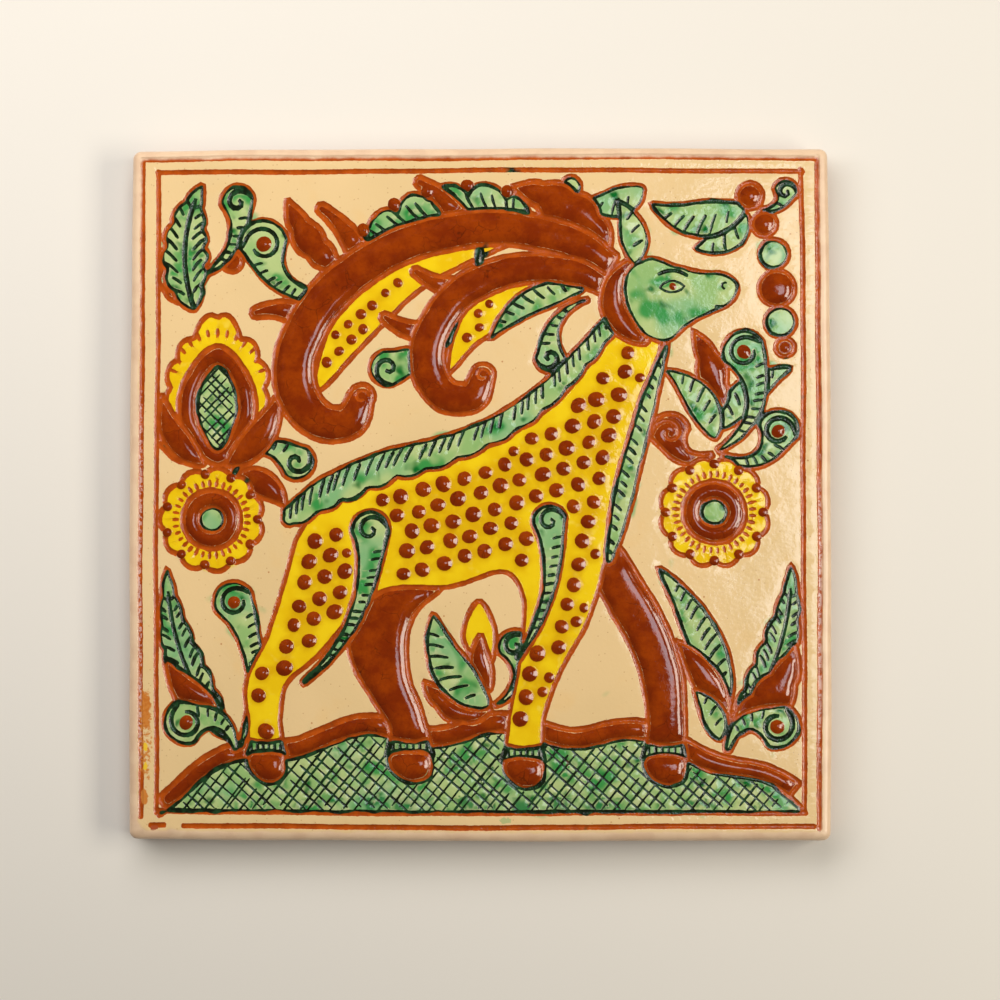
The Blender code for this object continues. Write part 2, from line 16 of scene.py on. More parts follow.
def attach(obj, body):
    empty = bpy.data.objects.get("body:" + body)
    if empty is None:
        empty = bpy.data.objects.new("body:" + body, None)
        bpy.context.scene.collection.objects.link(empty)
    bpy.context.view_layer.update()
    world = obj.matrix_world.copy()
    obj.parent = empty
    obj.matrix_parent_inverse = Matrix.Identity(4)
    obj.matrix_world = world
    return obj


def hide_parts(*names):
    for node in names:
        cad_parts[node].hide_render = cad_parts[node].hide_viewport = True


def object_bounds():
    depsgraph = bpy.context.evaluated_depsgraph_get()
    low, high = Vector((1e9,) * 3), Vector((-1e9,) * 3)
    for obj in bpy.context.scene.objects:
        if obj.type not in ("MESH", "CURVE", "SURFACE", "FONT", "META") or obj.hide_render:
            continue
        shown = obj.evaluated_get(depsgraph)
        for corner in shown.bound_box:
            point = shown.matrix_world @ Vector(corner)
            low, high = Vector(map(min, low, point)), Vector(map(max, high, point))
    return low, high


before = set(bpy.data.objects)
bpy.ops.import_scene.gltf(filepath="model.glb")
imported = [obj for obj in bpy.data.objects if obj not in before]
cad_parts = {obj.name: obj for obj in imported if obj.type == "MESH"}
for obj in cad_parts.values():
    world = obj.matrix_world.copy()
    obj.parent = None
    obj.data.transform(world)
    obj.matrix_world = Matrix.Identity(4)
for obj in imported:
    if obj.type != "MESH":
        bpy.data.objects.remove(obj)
cad_low, cad_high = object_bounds()


# The drawing. A potter scratches each outline through cream slip into the red clay below, then fills the
# shapes with coloured glazes or thick brown slip. What is in front is drawn first and hides what is behind.

MM = 0.001
SIDE_BOW = 0.5
TILE_SIZE = np.array([cad_high[0] - cad_low[0], cad_high[1] - cad_low[1]]) / MM - 2 * SIDE_BOW
CELL = 0.1
COLUMNS, ROWS = np.round(TILE_SIZE / CELL).astype(int)
CREAM, GREEN, YELLOW, BROWN = range(4)
LINE_HALF = 0.8
VEIN_HALF = 0.5
LINE_POINTS = 0.4
SPAN_POINTS, BOW_POINTS = 12, 48
HAND_WANDER = 0.16
HAND_WAVES = ((0.6, 5.0), (0.3, 1.9), (0.2, 0.8))
SPOT_GAP = 0.9
hand = np.random.default_rng(11)


def travel(line):
    """The distance along a line to each of its points: the running sum of its steps."""
    return np.concatenate([[0.0], np.cumsum(np.hypot(*np.diff(line, axis=0).T))])


def resample(line, step):
    """The same line with points at equal steps along it."""
    along = travel(line)
    at = np.linspace(0.0, along[-1], max(2, round(along[-1] / step) + 1))
    return np.column_stack([np.interp(at, along, column) for column in line.T])


def curve(points, closed=False):
    """A Catmull-Rom curve through the points: each span is the cubic set by its two neighbours."""
    p = np.array(points, float)
    p = np.vstack([p[-1], p, p[:2]]) if closed else np.vstack([2 * p[0] - p[1], p, 2 * p[-1] - p[-2]])
    t = np.linspace(0.0, 1.0, SPAN_POINTS, endpoint=False)[:, None, None]
    a, b, c, d = p[:-3], p[1:-2], p[2:-1], p[3:]
    spans = b + 0.5 * t * (c - a + t * (2 * a - 5 * b + 4 * c - d + t * (3 * (b - c) + d - a)))
    return np.vstack([spans.transpose(1, 0, 2).reshape(-1, 2), p[-2]])


def bow(base, tip, bend):
    """A parabola from base to tip whose middle stands off the straight by bend, to the left if positive."""
    t = np.linspace(0.0, 1.0, BOW_POINTS)[:, None]
    base, tip = np.array(base, float), np.array(tip, float)
    reach = tip - base
    left = np.array([-reach[1], reach[0]]) / np.hypot(*reach)
    return base + reach * t + left * bend * 4 * t * (1 - t)


def polar(angle, reach=1.0):
    """Points at the given angles and distances from the origin."""
    return np.column_stack([reach * np.cos(angle), reach * np.sin(angle)])


def arc(centre, radius, start=0.0, sweep=2 * np.pi, count=36):
    """Points on a circle from one angle through a sweep."""
    return np.array(centre) + polar(start + np.linspace(0.0, sweep, count), radius)


def sides(line):
    """Unit vectors to the left of a line, at each of its points."""
    run = np.gradient(line, axis=0)
    run = run / np.hypot(*run.T)[:, None]
    return np.column_stack([-run[:, 1], run[:, 0]])


def ribbon(spine, half, blunt=True, right=None):
    """The closed outline that lies half to each side of a spine, or another width to its right, with a round
    end if blunt."""
    left = sides(spine) * np.broadcast_to(half, len(spine))[:, None]
    other = left if right is None else sides(spine) * right[:, None]
    rim = [spine + left, (spine - other)[::-1]]
    if blunt:
        way = left[-1]
        rim.insert(1, arc(spine[-1], np.hypot(*way), np.arctan2(way[1], way[0]), -np.pi, 14)[1:-1])
    return np.vstack(rim)


def unsteady(line):
    """A line as a hand draws it: pushed sideways by three sines of the distance along it."""
    along = travel(line)
    phase = hand.uniform(0.0, 2 * np.pi, len(HAND_WAVES))
    push = sum(size * np.sin(along / wave + start) for (size, wave), start in zip(HAND_WAVES, phase))
    fade = np.clip(np.minimum(along, along[-1] - along) / 2.0, 0, 1)
    return line + sides(line) * (HAND_WANDER * push * fade)[:, None]


class Picture:
    """Fields, scratched lines and slip drops. What is drawn first lies in front."""

    def __init__(self):
        self.owner = np.zeros((ROWS, COLUMNS), np.int16)
        self.finish = [CREAM]
        self.lines = []
        self.drops = []

    def look(self, points):
        """The field that owns the cell under each point."""
        column, row = np.clip(((points + TILE_SIZE / 2) / CELL).astype(int), 0, [COLUMNS - 1, ROWS - 1]).T
        return self.owner[row, column]

    def fill(self, outline):
        """The cells inside a closed outline: each side toggles a cell in every row it crosses, and the
        running sum along the row is odd inside."""
        x, y = (outline + TILE_SIZE / 2).T / CELL - 0.5
        x2, y2 = np.roll(x, -1), np.roll(y, -1)
        low = np.ceil(np.minimum(y, y2)).astype(int)
        crossed = np.ceil(np.maximum(y, y2)).astype(int) - low
        side = np.repeat(np.arange(len(x)), crossed)
        row = np.arange(len(side)) - np.repeat(np.cumsum(crossed) - crossed, crossed) + low[side]
        column = x[side] + (row - y[side]) * (x2 - x)[side] / (y2 - y)[side]
        on_face = (row >= 0) & (row < ROWS)
        column = np.clip(np.ceil(column[on_face]).astype(int), 0, COLUMNS - 1)
        toggles = np.zeros((ROWS, COLUMNS), np.int8)
        np.add.at(toggles, (row[on_face], column), 1)
        return np.cumsum(toggles, axis=1, dtype=np.int8) % 2 == 1

    def scratch(self, line, half, shown, ends, short=0):
        """Keep the stretches of a line where shown holds. A stretch thins to the share ends at its ends, and
        stops up to so many points short of its field's edge."""
        edge = np.flatnonzero(np.diff(np.concatenate([[0], shown.astype(int), [0]]))).reshape(-1, 2)
        cut = hand.integers(0, short + 1, edge.shape)
        for first, last in edge + cut * [1, -1]:
            if last - first > 2:
                self.lines.append((line[first:last], half, ends))

    def field(self, outline, finish):
        """A filled shape with its scratched outline, behind all that is drawn already."""
        ring = unsteady(resample(np.vstack([outline, outline[:1]]), LINE_POINTS))
        self.scratch(ring, LINE_HALF * hand.uniform(0.92, 1.1), self.look(ring) == 0, 0.8)
        here = self.fill(ring[:-1]) & (self.owner == 0)
        self.finish.append(finish)
        self.owner[here] = len(self.finish) - 1
        return len(self.finish) - 1

    def shape(self, finish, *points):
        """A field inside a smooth closed curve through a few points."""
        return self.field(curve(points, closed=True), finish)

    def vein(self, field, line, half=VEIN_HALF, ends=0.2):
        """A finer scratch that shows only inside its own field."""
        line = resample(np.asarray(line, float), LINE_POINTS)
        self.scratch(line, half * hand.uniform(0.85, 1.15), self.look(line) == field, ends)

    def drop(self, x, y, radius):
        """One drop of slip, a little oval along a way of its own."""
        self.drops.append((x, y, radius, hand.uniform(0.93, 1.07), hand.uniform(0.0, np.pi)))

    def spot(self, field, centres, radius):
        """Drops at the points that lie well inside their own field, clear of earlier drops."""
        clear = np.ones(len(centres), bool)
        for way in arc((0.0, 0.0), radius + SPOT_GAP, count=9):
            clear &= self.look(centres + way) == field
        for x, y, other, *_ in self.drops:
            clear &= np.hypot(*(centres - [x, y]).T) > radius + other + SPOT_GAP
        for x, y in centres[clear]:
            self.drop(x, y, radius * hand.uniform(0.9, 1.08))


picture = Picture()


# The head, of mint glaze with emerald pools, and its collar of brown slip. Eye, brow, nostril and mouth are
# plain scratches, as for any animal in this way of drawing.

def comb(field, spine, half, pitch, side, slant=0.6, root=-0.25, tip=0.75):
    """A row of short fat strokes beside a spine, each a little different, leaning along it. Root and tip are
    shares of the half width, to the side that the row lies on."""
    left = side * sides(spine)
    run = side * np.column_stack([left[:, 1], -left[:, 0]])
    half = np.broadcast_to(half, len(spine))
    count = max(3, round(travel(spine)[-1] / pitch))
    for i in np.linspace(0, len(spine) - 1, count)[1:-1].astype(int):
        reach = half[i] * hand.uniform(0.85, 1.15)
        start = spine[i] + left[i] * root * reach
        end = spine[i] + (left[i] * tip + run[i] * slant) * reach
        picture.vein(field, [start, 0.5 * (start + end) + run[i] * 0.06 * reach, end], ends=0.35)


def lobed(t, lobes, dip=0.26):
    """Share of the full width left by rounded lobes: it dips where two of them meet."""
    return 1.0 - dip * (1.0 - np.abs(np.sin(np.pi * lobes * t)) ** 0.6) if lobes else np.ones(len(t))


def leaf(base, tip, bend, width, finish=GREEN, pitch=2.9, lobes=0):
    """A pointed blade, widest below its middle, with a row of strokes where a pitch is given. A lobed one
    has a middle line and a row on each side of it."""
    spine = bow(base, tip, bend)
    t = np.linspace(0.0, 1.0, len(spine))
    half = 0.5 * width * np.sin(np.pi * t**0.8) ** 0.85 + 0.02
    field = picture.field(ribbon(spine, half * lobed(t, lobes), blunt=False), finish)
    if pitch and lobes:
        picture.vein(field, spine[:-6], 0.7, 0.4)
        for side in (1, -1):
            comb(field, spine[3:-5], half[3:-5], pitch, side, 0.55, 0.28, 0.85)
    elif pitch:
        comb(field, spine[3:-5], half[3:-5], pitch, np.sign(bend))


def draw_head():
    """Ear, face, eye, brow, mouth and nostril, with the collar behind them."""
    leaf((44, 65), (39.5, 83), -2, 7.6)
    eye = curve([(51.4, 58.4), (54.6, 60.4), (58.4, 58.6), (54.8, 57)], closed=True)
    face = picture.shape(
        GREEN, (42, 62.5), (48.5, 66.8), (55.5, 64.8), (62.5, 62.8), (69.5, 62.2), (73.4, 58.8),
        (71.6, 54), (65.5, 51), (59, 47.6), (53.5, 43.2), (47, 45), (42, 53))
    picture.vein(face, eye, 0.42, 1)
    picture.vein(face, bow((50.4, 61.8), (59.6, 61.4), 1.6), 0.55)
    picture.vein(face, bow((66.6, 53.2), (72.8, 55.4), -1.2), 0.55)
    picture.vein(face, arc((69.8, 58.9), 0.95, 0.6, 4.6, 14), 0.4)
    picture.drop(55, 58.7, 0.95)
    picture.shape(
        BROWN, (42.8, 66.2), (36, 61), (34.6, 52.6), (39, 45.2), (47.5, 42.2), (48, 50), (45, 58))


draw_head()


# The stag's body: honey-yellow glaze under rows of brown slip drops, a combed green mane and chest band, two
# spotted near legs with a curled green comma on each, and two far legs of brown slip.

def scroll(base, head, bend, radius, finish=GREEN, pitch=2.4):
    """A comma of glaze that widens to a round head, with a coil scratched in the head: the coil's radius
    shrinks as a power of its angle. In a large green one it ends round a heart of brown slip."""
    spine = bow(base, head, bend)
    heart = pitch and radius > 5.5
    if heart:
        picture.drop(*head, 0.3 * radius)
    t = np.linspace(0, 1, len(spine))
    half = radius * (0.12 + 0.50 * t + 0.38 * t**6)
    field = picture.field(ribbon(spine, half), finish)
    turn = np.sign(bend)
    way = sides(spine)[-1] * turn
    angle = np.linspace(0, (1.9 if heart else 2.3) * np.pi, 40)
    bearing = np.arctan2(way[1], way[0]) - turn * angle
    depth, power = (0.52, 0.32) if heart else (0.84, 0.62)
    reach = radius * (0.98 - depth * (angle / angle[-1]) ** power)
    picture.vein(field, spine[-1] + polar(bearing, reach), 0.72, 0.5)
    if pitch:
        rim = spine + turn * sides(spine) * np.maximum(half - 2, 0)[:, None]
        comb(field, rim[8:-3], np.minimum(half, 2.2)[8:-3], pitch, turn, 0.5, -0.6, 0.6)


def turned(points, turn):
    """The points, turned about the origin by an angle."""
    c, s = np.cos(turn), np.sin(turn)
    return points @ np.array([[c, s], [-s, c]])


def stagger(pitch, turn, wander):
    """Points in staggered rows over the whole face, turned, each a little out of its place."""
    column, row = np.meshgrid(np.arange(-30, 31), np.arange(-34, 35))
    grid = pitch * np.column_stack([(column + 0.5 * (row % 2)).ravel(), 0.88 * row.ravel()])
    return turned(grid + hand.normal(0, wander, grid.shape), turn)


def swell(count, halves):
    """Half widths along a spine of so many points, through a few given ones at equal steps."""
    return np.interp(np.linspace(0, 1, count), np.linspace(0, 1, len(halves)), halves)


def draw_hoof(x, y, width):
    """A hoof of slip under a cuff with six scratches, as wide as its leg asks."""
    toe = [(-0.50, 4), (-0.60, 0), (-0.10, -4), (0.52, -3.2), (0.66, 0.8), (0.50, 4)]
    picture.shape(BROWN, *((x + width * across, y + up) for across, up in toe))
    cuff = bow((x - 0.64 * width, y + 5.6), (x + 0.64 * width, y + 5.6), -0.8)
    field = picture.field(ribbon(cuff, 2.3, blunt=False), GREEN)
    for across in np.linspace(-0.5, 0.5, 6) * width:
        picture.vein(field, [(x + across, y + 3.4), (x + across, y + 7)])


def draw_near_side():
    """Near hooves, leg commas, mane and chest band, then the spotted trunk behind them."""
    for x, y, width in ((-60.4, -77.6, 8.2), (12.6, -79.2, 8.6)):
        draw_hoof(x, y, width)
    scroll((11, -47), (20, -8), -4, 4.8)
    scroll((-50, -54), (-31, -10.5), -6, 5.4)
    back = curve([(39, 50), (29.5, 38.6), (18.5, 27.4), (5, 18), (-11, 11.6), (-27, 7),
                  (-42, 0.6), (-54, -7.4)])
    half = swell(len(back), [2.4, 3.2, 3.6, 3.9, 4.3, 4.9, 4.8, 3.2])
    lower = half * lobed(np.linspace(0, 1, len(back)), 13, 0.36)
    mane = picture.field(ribbon(back, lower, right=half), GREEN)
    comb(mane, back, half, 2.85, 1, 0.9, -0.9, 0.08)
    chest = bow((36.8, -20), (53.4, 42.5), 1.1)
    half = 2.9 * np.sin(np.pi * np.linspace(0.03, 0.97, len(chest)) ** 0.8) ** 0.7
    comb(picture.field(ribbon(chest, half, blunt=False), GREEN), chest, half, 3.1, 1)
    trunk = picture.shape(
        YELLOW, (44, 50), (34, 40), (22, 26), (8, 16), (-10, 9), (-28, 4.5), (-43, -2), (-51.5, -12),
        (-55.5, -26), (-60, -40), (-66, -53), (-65.6, -64), (-64.8, -72.5), (-56.4, -72.5), (-56.4, -63),
        (-54.4, -54), (-46, -46.5), (-37, -36), (-26, -27.5), (-8, -26.5), (7, -22.5), (12.6, -30),
        (11.8, -44), (9.6, -57), (8, -67), (8.4, -73), (17, -73), (18.6, -62), (23.4, -50), (30, -38),
        (35, -23), (38.4, -6), (41.6, 12), (46, 28), (51.5, 42))
    picture.spot(trunk, stagger(6.1, 0.28, 0.25), 2)
    picture.spot(trunk, stagger(4.3, 0.05, 0.2), 1.4)


def draw_far_legs():
    """Two more hooves and the plain legs of slip over them."""
    for x, y, width in ((-19.6, -77.4, 9.4), (52.6, -78.4, 9.2)):
        draw_hoof(x, y, width)
    picture.shape(
        BROWN, (-40, -24), (-38.5, -36), (-36, -48), (-30.6, -58), (-25.6, -66), (-24.8, -72),
        (-14.6, -72), (-16, -62), (-19.6, -53), (-20.6, -43), (-18, -34), (-10, -25), (-24, -18))
    picture.shape(
        BROWN, (32, -22), (37, -33), (43, -44), (46.6, -56), (47.8, -66), (47.8, -72.5), (57.4, -72.5),
        (58.2, -62), (57.2, -50), (53, -37), (46, -25), (40, -15), (35, -8))


draw_near_side()
draw_far_legs()


# The antlers: two swept beams of thick brown slip that hook at their lower ends, with pointed tines, a
# spotted yellow field under each, and a lobed green crest, leaves and commas above and between them.

def tine(base, tip, bend, root):
    """A bowed bar of slip that narrows from its root to a blunt point."""
    spine = bow(base, tip, bend)
    picture.field(ribbon(spine, np.linspace(root, 0.35 * root, len(spine))), BROWN)


def beam(points, halves):
    """The main bar of an antler: a curve whose half width follows given ones, with a coil in its end."""
    spine = curve(points)
    field = picture.field(ribbon(spine, swell(len(spine), halves)), BROWN)
    angle = np.linspace(0, 1.7 * np.pi, 30)
    reach = 0.6 * halves[-1] * (1 - 0.5 * angle / angle[-1])
    picture.vein(field, spine[-1] + polar(angle, reach), 0.5, 0.5)


def crest(points, rise, lobes):
    """A leaf that stands along one side of a curve, with round lobes, a row of strokes and a drop in each
    notch."""
    spine = curve(points)
    t = np.linspace(0, 1, len(spine))
    way = -sides(spine)
    height = rise * np.sin(np.pi * np.clip(t, 0.02, 0.98)) ** 0.4
    rim = spine + way * (height * lobed(t, lobes))[:, None]
    field = picture.field(np.vstack([rim, spine[::-1]]), GREEN)
    comb(field, spine + way * (0.5 * height)[:, None], 0.42 * height, 3, -1, 0.6, -0.5, 0.7)
    for notch in np.arange(1, lobes) / lobes:
        i = round(notch * (len(spine) - 1))
        picture.drop(*(spine[i] + way[i] * 0.94 * height[i]), 1.75)


def draw_antlers():
    """The lower beam with two tines in front of the upper one with three."""
    beam([(37, 58.5), (26, 63), (10, 63.5), (-5, 57), (-13.5, 45.5), (-14.5, 35), (-9.5, 27.6),
          (-1.8, 27.6), (1, 33.6)], [2.8, 3.8, 4.3, 4.6, 4.8, 4.8, 4.6, 4.2, 3.4])
    for base, tip in (((-2, 58.5), (-18, 63)), ((-12, 46), (-27, 50))):
        tine(base, tip, 1.6, 3.6)
    beam([(38, 64.5), (25, 72), (3, 75.5), (-21, 71), (-41, 58.5), (-51.5, 42), (-52, 29),
          (-45.5, 20.5), (-37, 20.5), (-33.5, 27.5)], [3.4, 4.6, 5, 5.2, 5.6, 5.8, 5.6, 5.2, 4.6, 3.6])
    for base, tip in (((-5, 75), (-17, 88.5)), ((-33, 64.5), (-45, 81)), ((-48, 49), (-63.5, 51.5))):
        tine(base, tip, -1.8, 4.1)


def draw_between_antlers():
    """The leaves, commas and spotted fields that fill the gaps, and the crest."""
    scroll((31, 55), (20, 38.5), -4, 4.4)
    leaf((30, 58), (3, 43.5), -4, 7.4)
    low = picture.shape(YELLOW, (27, 61), (8, 61), (-5, 50), (-9, 34), (0, 43), (14, 52))
    picture.spot(low, stagger(4.4, 0.6, 0.2), 1.25)
    scroll((0, 69.5), (-26, 35.5), 8, 5.2)
    high = picture.shape(
        YELLOW, (14, 74), (-8, 72.5), (-30, 63), (-43, 47), (-46.5, 29), (-33, 42), (-18, 57), (-2, 66))
    picture.spot(high, stagger(4.6, 0.7, 0.2), 1.35)
    leaf((37, 69), (9, 87), -3.5, 13, BROWN, 0, 4)
    crest([(15, 76), (3, 77), (-12, 74.5), (-24, 70), (-37, 61.5)], 12.5, 6)
    scroll((-42, 57), (-61.5, 71), 6, 7)
    leaf((-40, 64), (-55, 84), 2, 9, BROWN, 0, 3)


draw_antlers()
draw_between_antlers()


# The plants beside the stag: round flowers with scalloped yellow petals, a bud with a hatched heart, veined
# leaves, curled commas and plain petals of brown slip.

def disc(centre, radius, finish=BROWN):
    """A round berry or flower ring."""
    picture.field(arc(centre, radius, count=26)[:-1], finish)


def rosette(centre, radius, petals):
    """A round flower. The rim's radius falls at each of the equal steps where two petals meet, and a drop
    of slip lies there."""
    disc(centre, 0.24 * radius, GREEN)
    disc(centre, 0.56 * radius)
    angle = np.linspace(0, 2 * np.pi, petals * 12 + 1)[:-1]
    reach = radius * (0.84 + 0.16 * np.abs(np.sin(0.5 * petals * angle)) ** 0.5)
    field = picture.field(np.array(centre) + polar(angle, reach), YELLOW)
    for point in arc(centre, 0.88 * radius, count=petals + 1)[1:]:
        picture.drop(*point, 0.085 * radius)
    step = 2 * np.pi / (3 * petals)
    inner = arc(centre, 0.63 * radius, 0.5 * step, count=3 * petals + 1)[:-1]
    outer = arc(centre, 0.76 * radius, 0.5 * step, count=3 * petals + 1)[:-1]
    for ray in zip(inner, outer):
        picture.vein(field, ray, 0.52, 0.4)


HATCH_REACH = 140.0
HATCH_HALF = 0.3


def lattice(field, pitch, turn):
    """Scratched parallel lines across a field, each with its own lean and sway, that stop short of its
    edge."""
    run = polar(turn)[0]
    across = run[::-1] * [-1, 1]
    reach = np.arange(-HATCH_REACH, HATCH_REACH, LINE_POINTS)
    for offset in np.arange(-HATCH_REACH, HATCH_REACH, pitch):
        lean, sway, phase = hand.normal(0, 0.004), hand.normal(0, 0.2), hand.uniform(0, 6.3)
        side = offset + hand.normal(0, 0.08 * pitch) + lean * reach + sway * np.sin(reach / 11.0 + phase)
        line = reach[:, None] * run + side[:, None] * across
        half = HATCH_HALF * hand.uniform(0.8, 1.2)
        picture.scratch(line, half, picture.look(line) == field, 0.4, 5)


def draw_bud():
    """A crossed heart in a cup of slip between two petals. The crown's radius dips at each scallop as a
    power of a sine, and swells to a point at the top on a bell curve."""
    heart = picture.shape(
        GREEN, (-74.5, 12), (-80, 21), (-79.5, 30), (-74.5, 36.5), (-69.5, 30), (-69, 21))
    lattice(heart, 2.1, 0.8)
    lattice(heart, 2.1, -0.8)
    leaf((-72, 8), (-57, 29), -3, 8, BROWN, 0)
    leaf((-78, 8), (-90, 28), 3, 7, BROWN, 0)
    picture.shape(BROWN, (-74.5, 8), (-84.5, 19), (-84, 32), (-74.5, 42), (-65, 32), (-64.5, 19))
    middle = np.array([-74.5, 30])
    angle = np.linspace(-0.16, 1.16, 120) * np.pi
    scallop = 0.86 + 0.14 * np.abs(np.sin(6.0 * angle)) ** 0.6
    reach = 16.4 * scallop * (1 + 0.24 * np.exp(-(((angle - np.pi / 2) / 0.3) ** 2)))
    crown = picture.field(middle + polar(angle, reach) * [0.9, 1.1], YELLOW)
    for a in np.linspace(0.1, 0.9, 13) * np.pi:
        ray = polar(a)[0] * [1, 1.2]
        picture.vein(crown, [middle + 12.2 * ray, middle + 14.2 * ray], 0.52, 0.4)


def draw_left_plants():
    """The flower, the bunch below it, the bud above it and the sprig in the top corner."""
    rosette((-76, -7.5), 14.8, 11)
    scroll((-69, -73), (-83, -65), -5, 6.4)
    scroll((-68, -72), (-69.5, -31), -5, 5.8)
    leaf((-71, -66), (-89, -47), 2, 8.5, BROWN, 0)
    leaf((-70, -70), (-88.5, -21), 5, 11, pitch=2.7, lobes=7)
    draw_bud()
    scroll((-70, 5), (-52, 9), 6, 5.2)
    leaf((-69, 5), (-55, -4), 2, 7.5, BROWN, 0)
    leaf((-80.5, 9), (-90.5, 14), -1, 6)
    leaf((-81, 52), (-79, 88.5), 4, 13.5, pitch=2.7, lobes=6)
    scroll((-79, 62), (-69, 83), -4, 4.8)
    leaf((-84, 54), (-88.5, 70), 2, 6.5, BROWN, 0, 3)
    disc((-70.5, 66), 3)


def draw_right_plants():
    """The flower, the bunch that grows from its top and the one in the lower corner."""
    rosette((66.5, -5.5), 15.6, 12)
    scroll((67.5, 12), (75, 40), -7, 6.2)
    scroll((69, 10.5), (84.5, 17.5), -5, 6)
    scroll((66, 11), (54, 17), 4, 5.6, BROWN, 0)
    leaf((67, 15), (52.5, 35), -3, 8.6)
    leaf((67.5, 22), (60.5, 46.5), -2, 8.5, BROWN, 0, 3)
    leaf((69, 18), (88.5, 35.5), 3, 8.6)
    scroll((70, -73), (84, -66), 5, 6.4)
    leaf((71, -66), (89, -43), -4, 12, BROWN, 0, 3)
    leaf((70, -70), (88, -20), -5, 11.5, pitch=2.7, lobes=7)
    leaf((68, -70), (60.5, -55.5), -1.5, 6.5)
    leaf((69, -66), (56, -42), -2, 8.5, BROWN, 0)
    leaf((70, -62), (50.5, -21), -3, 9.6)


def draw_garland():
    """Berries down the right border and leaves along the top one."""
    berries = ((77, 84.6, 3.7, BROWN), (81, 76.4, 3.6, BROWN), (83.6, 67.8, 4.2, GREEN),
               (84.4, 58.2, 5.2, BROWN), (85.4, 48.6, 4.3, GREEN), (86.6, 41.2, 2.7, BROWN))
    for x, y, radius, finish in berries:
        disc((x, y), radius, finish)
    leaf((76, 82), (48.5, 82.5), 4.5, 10)
    leaf((76, 79.5), (61, 69.5), 2.5, 8.4)
    scroll((80, 80.5), (87.2, 85.6), -2, 3.6)
    leaf((47, 87), (29.5, 83), 2.5, 8.4)
    disc((26.2, 87.2), 2.8, GREEN)


def draw_sprig():
    """The small plant between the legs, with one yellow bud."""
    leaf((3, -60.5), (-13, -34), 4, 11)
    scroll((4.5, -60), (10, -43.5), -4, 4.8)
    leaf((3.5, -61.5), (-16, -53), 3, 8.5, BROWN, 0, 3)
    leaf((3.2, -56), (0.5, -40), 1.5, 6, BROWN, 0)
    picture.shape(YELLOW, (2, -50), (-4.6, -41), (0, -30.5), (4.8, -40))


draw_left_plants()
draw_right_plants()
draw_garland()
draw_sprig()


# The ground and the border: a green hill with crossed scratches under a rope of brown slip, and two lines
# that a steady hand scratched along the edge, with a gap in the outer one near the lower left corner.

OUTER_LINE = (96.1, -94.3, 95.5)
INNER_LINE = (91.6, -90.2, 91.7)
STUB_START, STUB_END, LOW_START = 2.9, 6.8, 12.2
BORDER_HALF = 0.80
BORDER_SWAY = ((0.16, 19.0), (0.07, 6.0))
HILL_TOP, HILL_FALL, HILL_POWER = -69.5, 20.0, 3.2
HILL_WAVE, HILL_WAVELENGTH = 2.1, 39.0
ROPE_ENDS = (-88.2, 89.0)
ROPE_HALVES = (2.3, 3.1, 3.1, 3.1, 3.1, 3.1, 2.2)


def draw_ground():
    """The hill's top is a power of the distance from its middle, with a small sine on it."""
    end, low = INNER_LINE[0] - 0.8, INNER_LINE[1]
    x = np.linspace(-end, end, 400)
    wave = HILL_WAVE * np.sin(2 * np.pi * x / HILL_WAVELENGTH + 0.5)
    crest = np.column_stack([x, HILL_TOP - HILL_FALL * np.abs(x / end) ** HILL_POWER + wave])
    hill = picture.field(np.vstack([crest, [(end, low), (-end, low)]]), GREEN)
    lattice(hill, 2.5, 0.9)
    lattice(hill, 2.7, -0.72)
    rope = (crest + 2.1 * sides(crest))[::-1]
    rope = rope[(rope[:, 0] > ROPE_ENDS[0]) & (rope[:, 0] < ROPE_ENDS[1])]
    picture.field(ribbon(rope, swell(len(rope), ROPE_HALVES)), BROWN)


def border_stroke(start, end):
    """One straight stroke with the slow sway of a hand: two sines of the distance along it."""
    line = resample(np.array([start, end], float), 1.0)
    along = np.linspace(0.0, np.hypot(*(line[-1] - line[0])), len(line))
    sway = sum(size * np.sin(along / wave + hand.uniform(0, 6)) for size, wave in BORDER_SWAY)
    picture.lines.append((line + sides(line) * sway[:, None], BORDER_HALF * hand.uniform(0.92, 1.06), 1.0))


def draw_border():
    """Five outer strokes, the first two with the gap between them, and four inner ones."""
    x, low, high = OUTER_LINE
    border_stroke((-x + STUB_START, low), (-x + STUB_END, low + 0.1))
    border_stroke((-x + LOW_START, low), (x - 1.6, low + 0.2))
    border_stroke((x, low - 0.5), (x, high + 0.4))
    border_stroke((x + 0.4, high), (-x - 0.4, high))
    border_stroke((-x, high + 0.2), (-x, low + 2.4))
    x, low, high = INNER_LINE
    border_stroke((-x, low), (x + 0.6, low))
    border_stroke((x, low - 0.4), (x, high + 0.6))
    border_stroke((x + 0.6, high), (-x - 0.4, high))
    border_stroke((-x, high + 0.3), (-x, low - 0.5))


draw_ground()
draw_border()


# The relief: the depth of every scratch, the thickness of the brown slip and its drops, and the slow
# unevenness of a slab rolled by hand. Each is a height over the cells of the face.

DEPTH_SHARE = 0.42
FLOOR_SHARE = 0.5
MARK_REACH = 1.6
TAPER_REACH = 1.4
SLIP_GAP = 1.1
SLIP_RISE = 1.04
SLIP_SOFT = ((0.6, 1.6), (0.4, 3.2))
SLIP_FOOT, SLIP_SPAN = 0.42, 0.56
DROP_SLOPE = 0.66
DROP_TIP = 0.6
DROP_FOOT = 1.1
DROP_TOP = 0.84


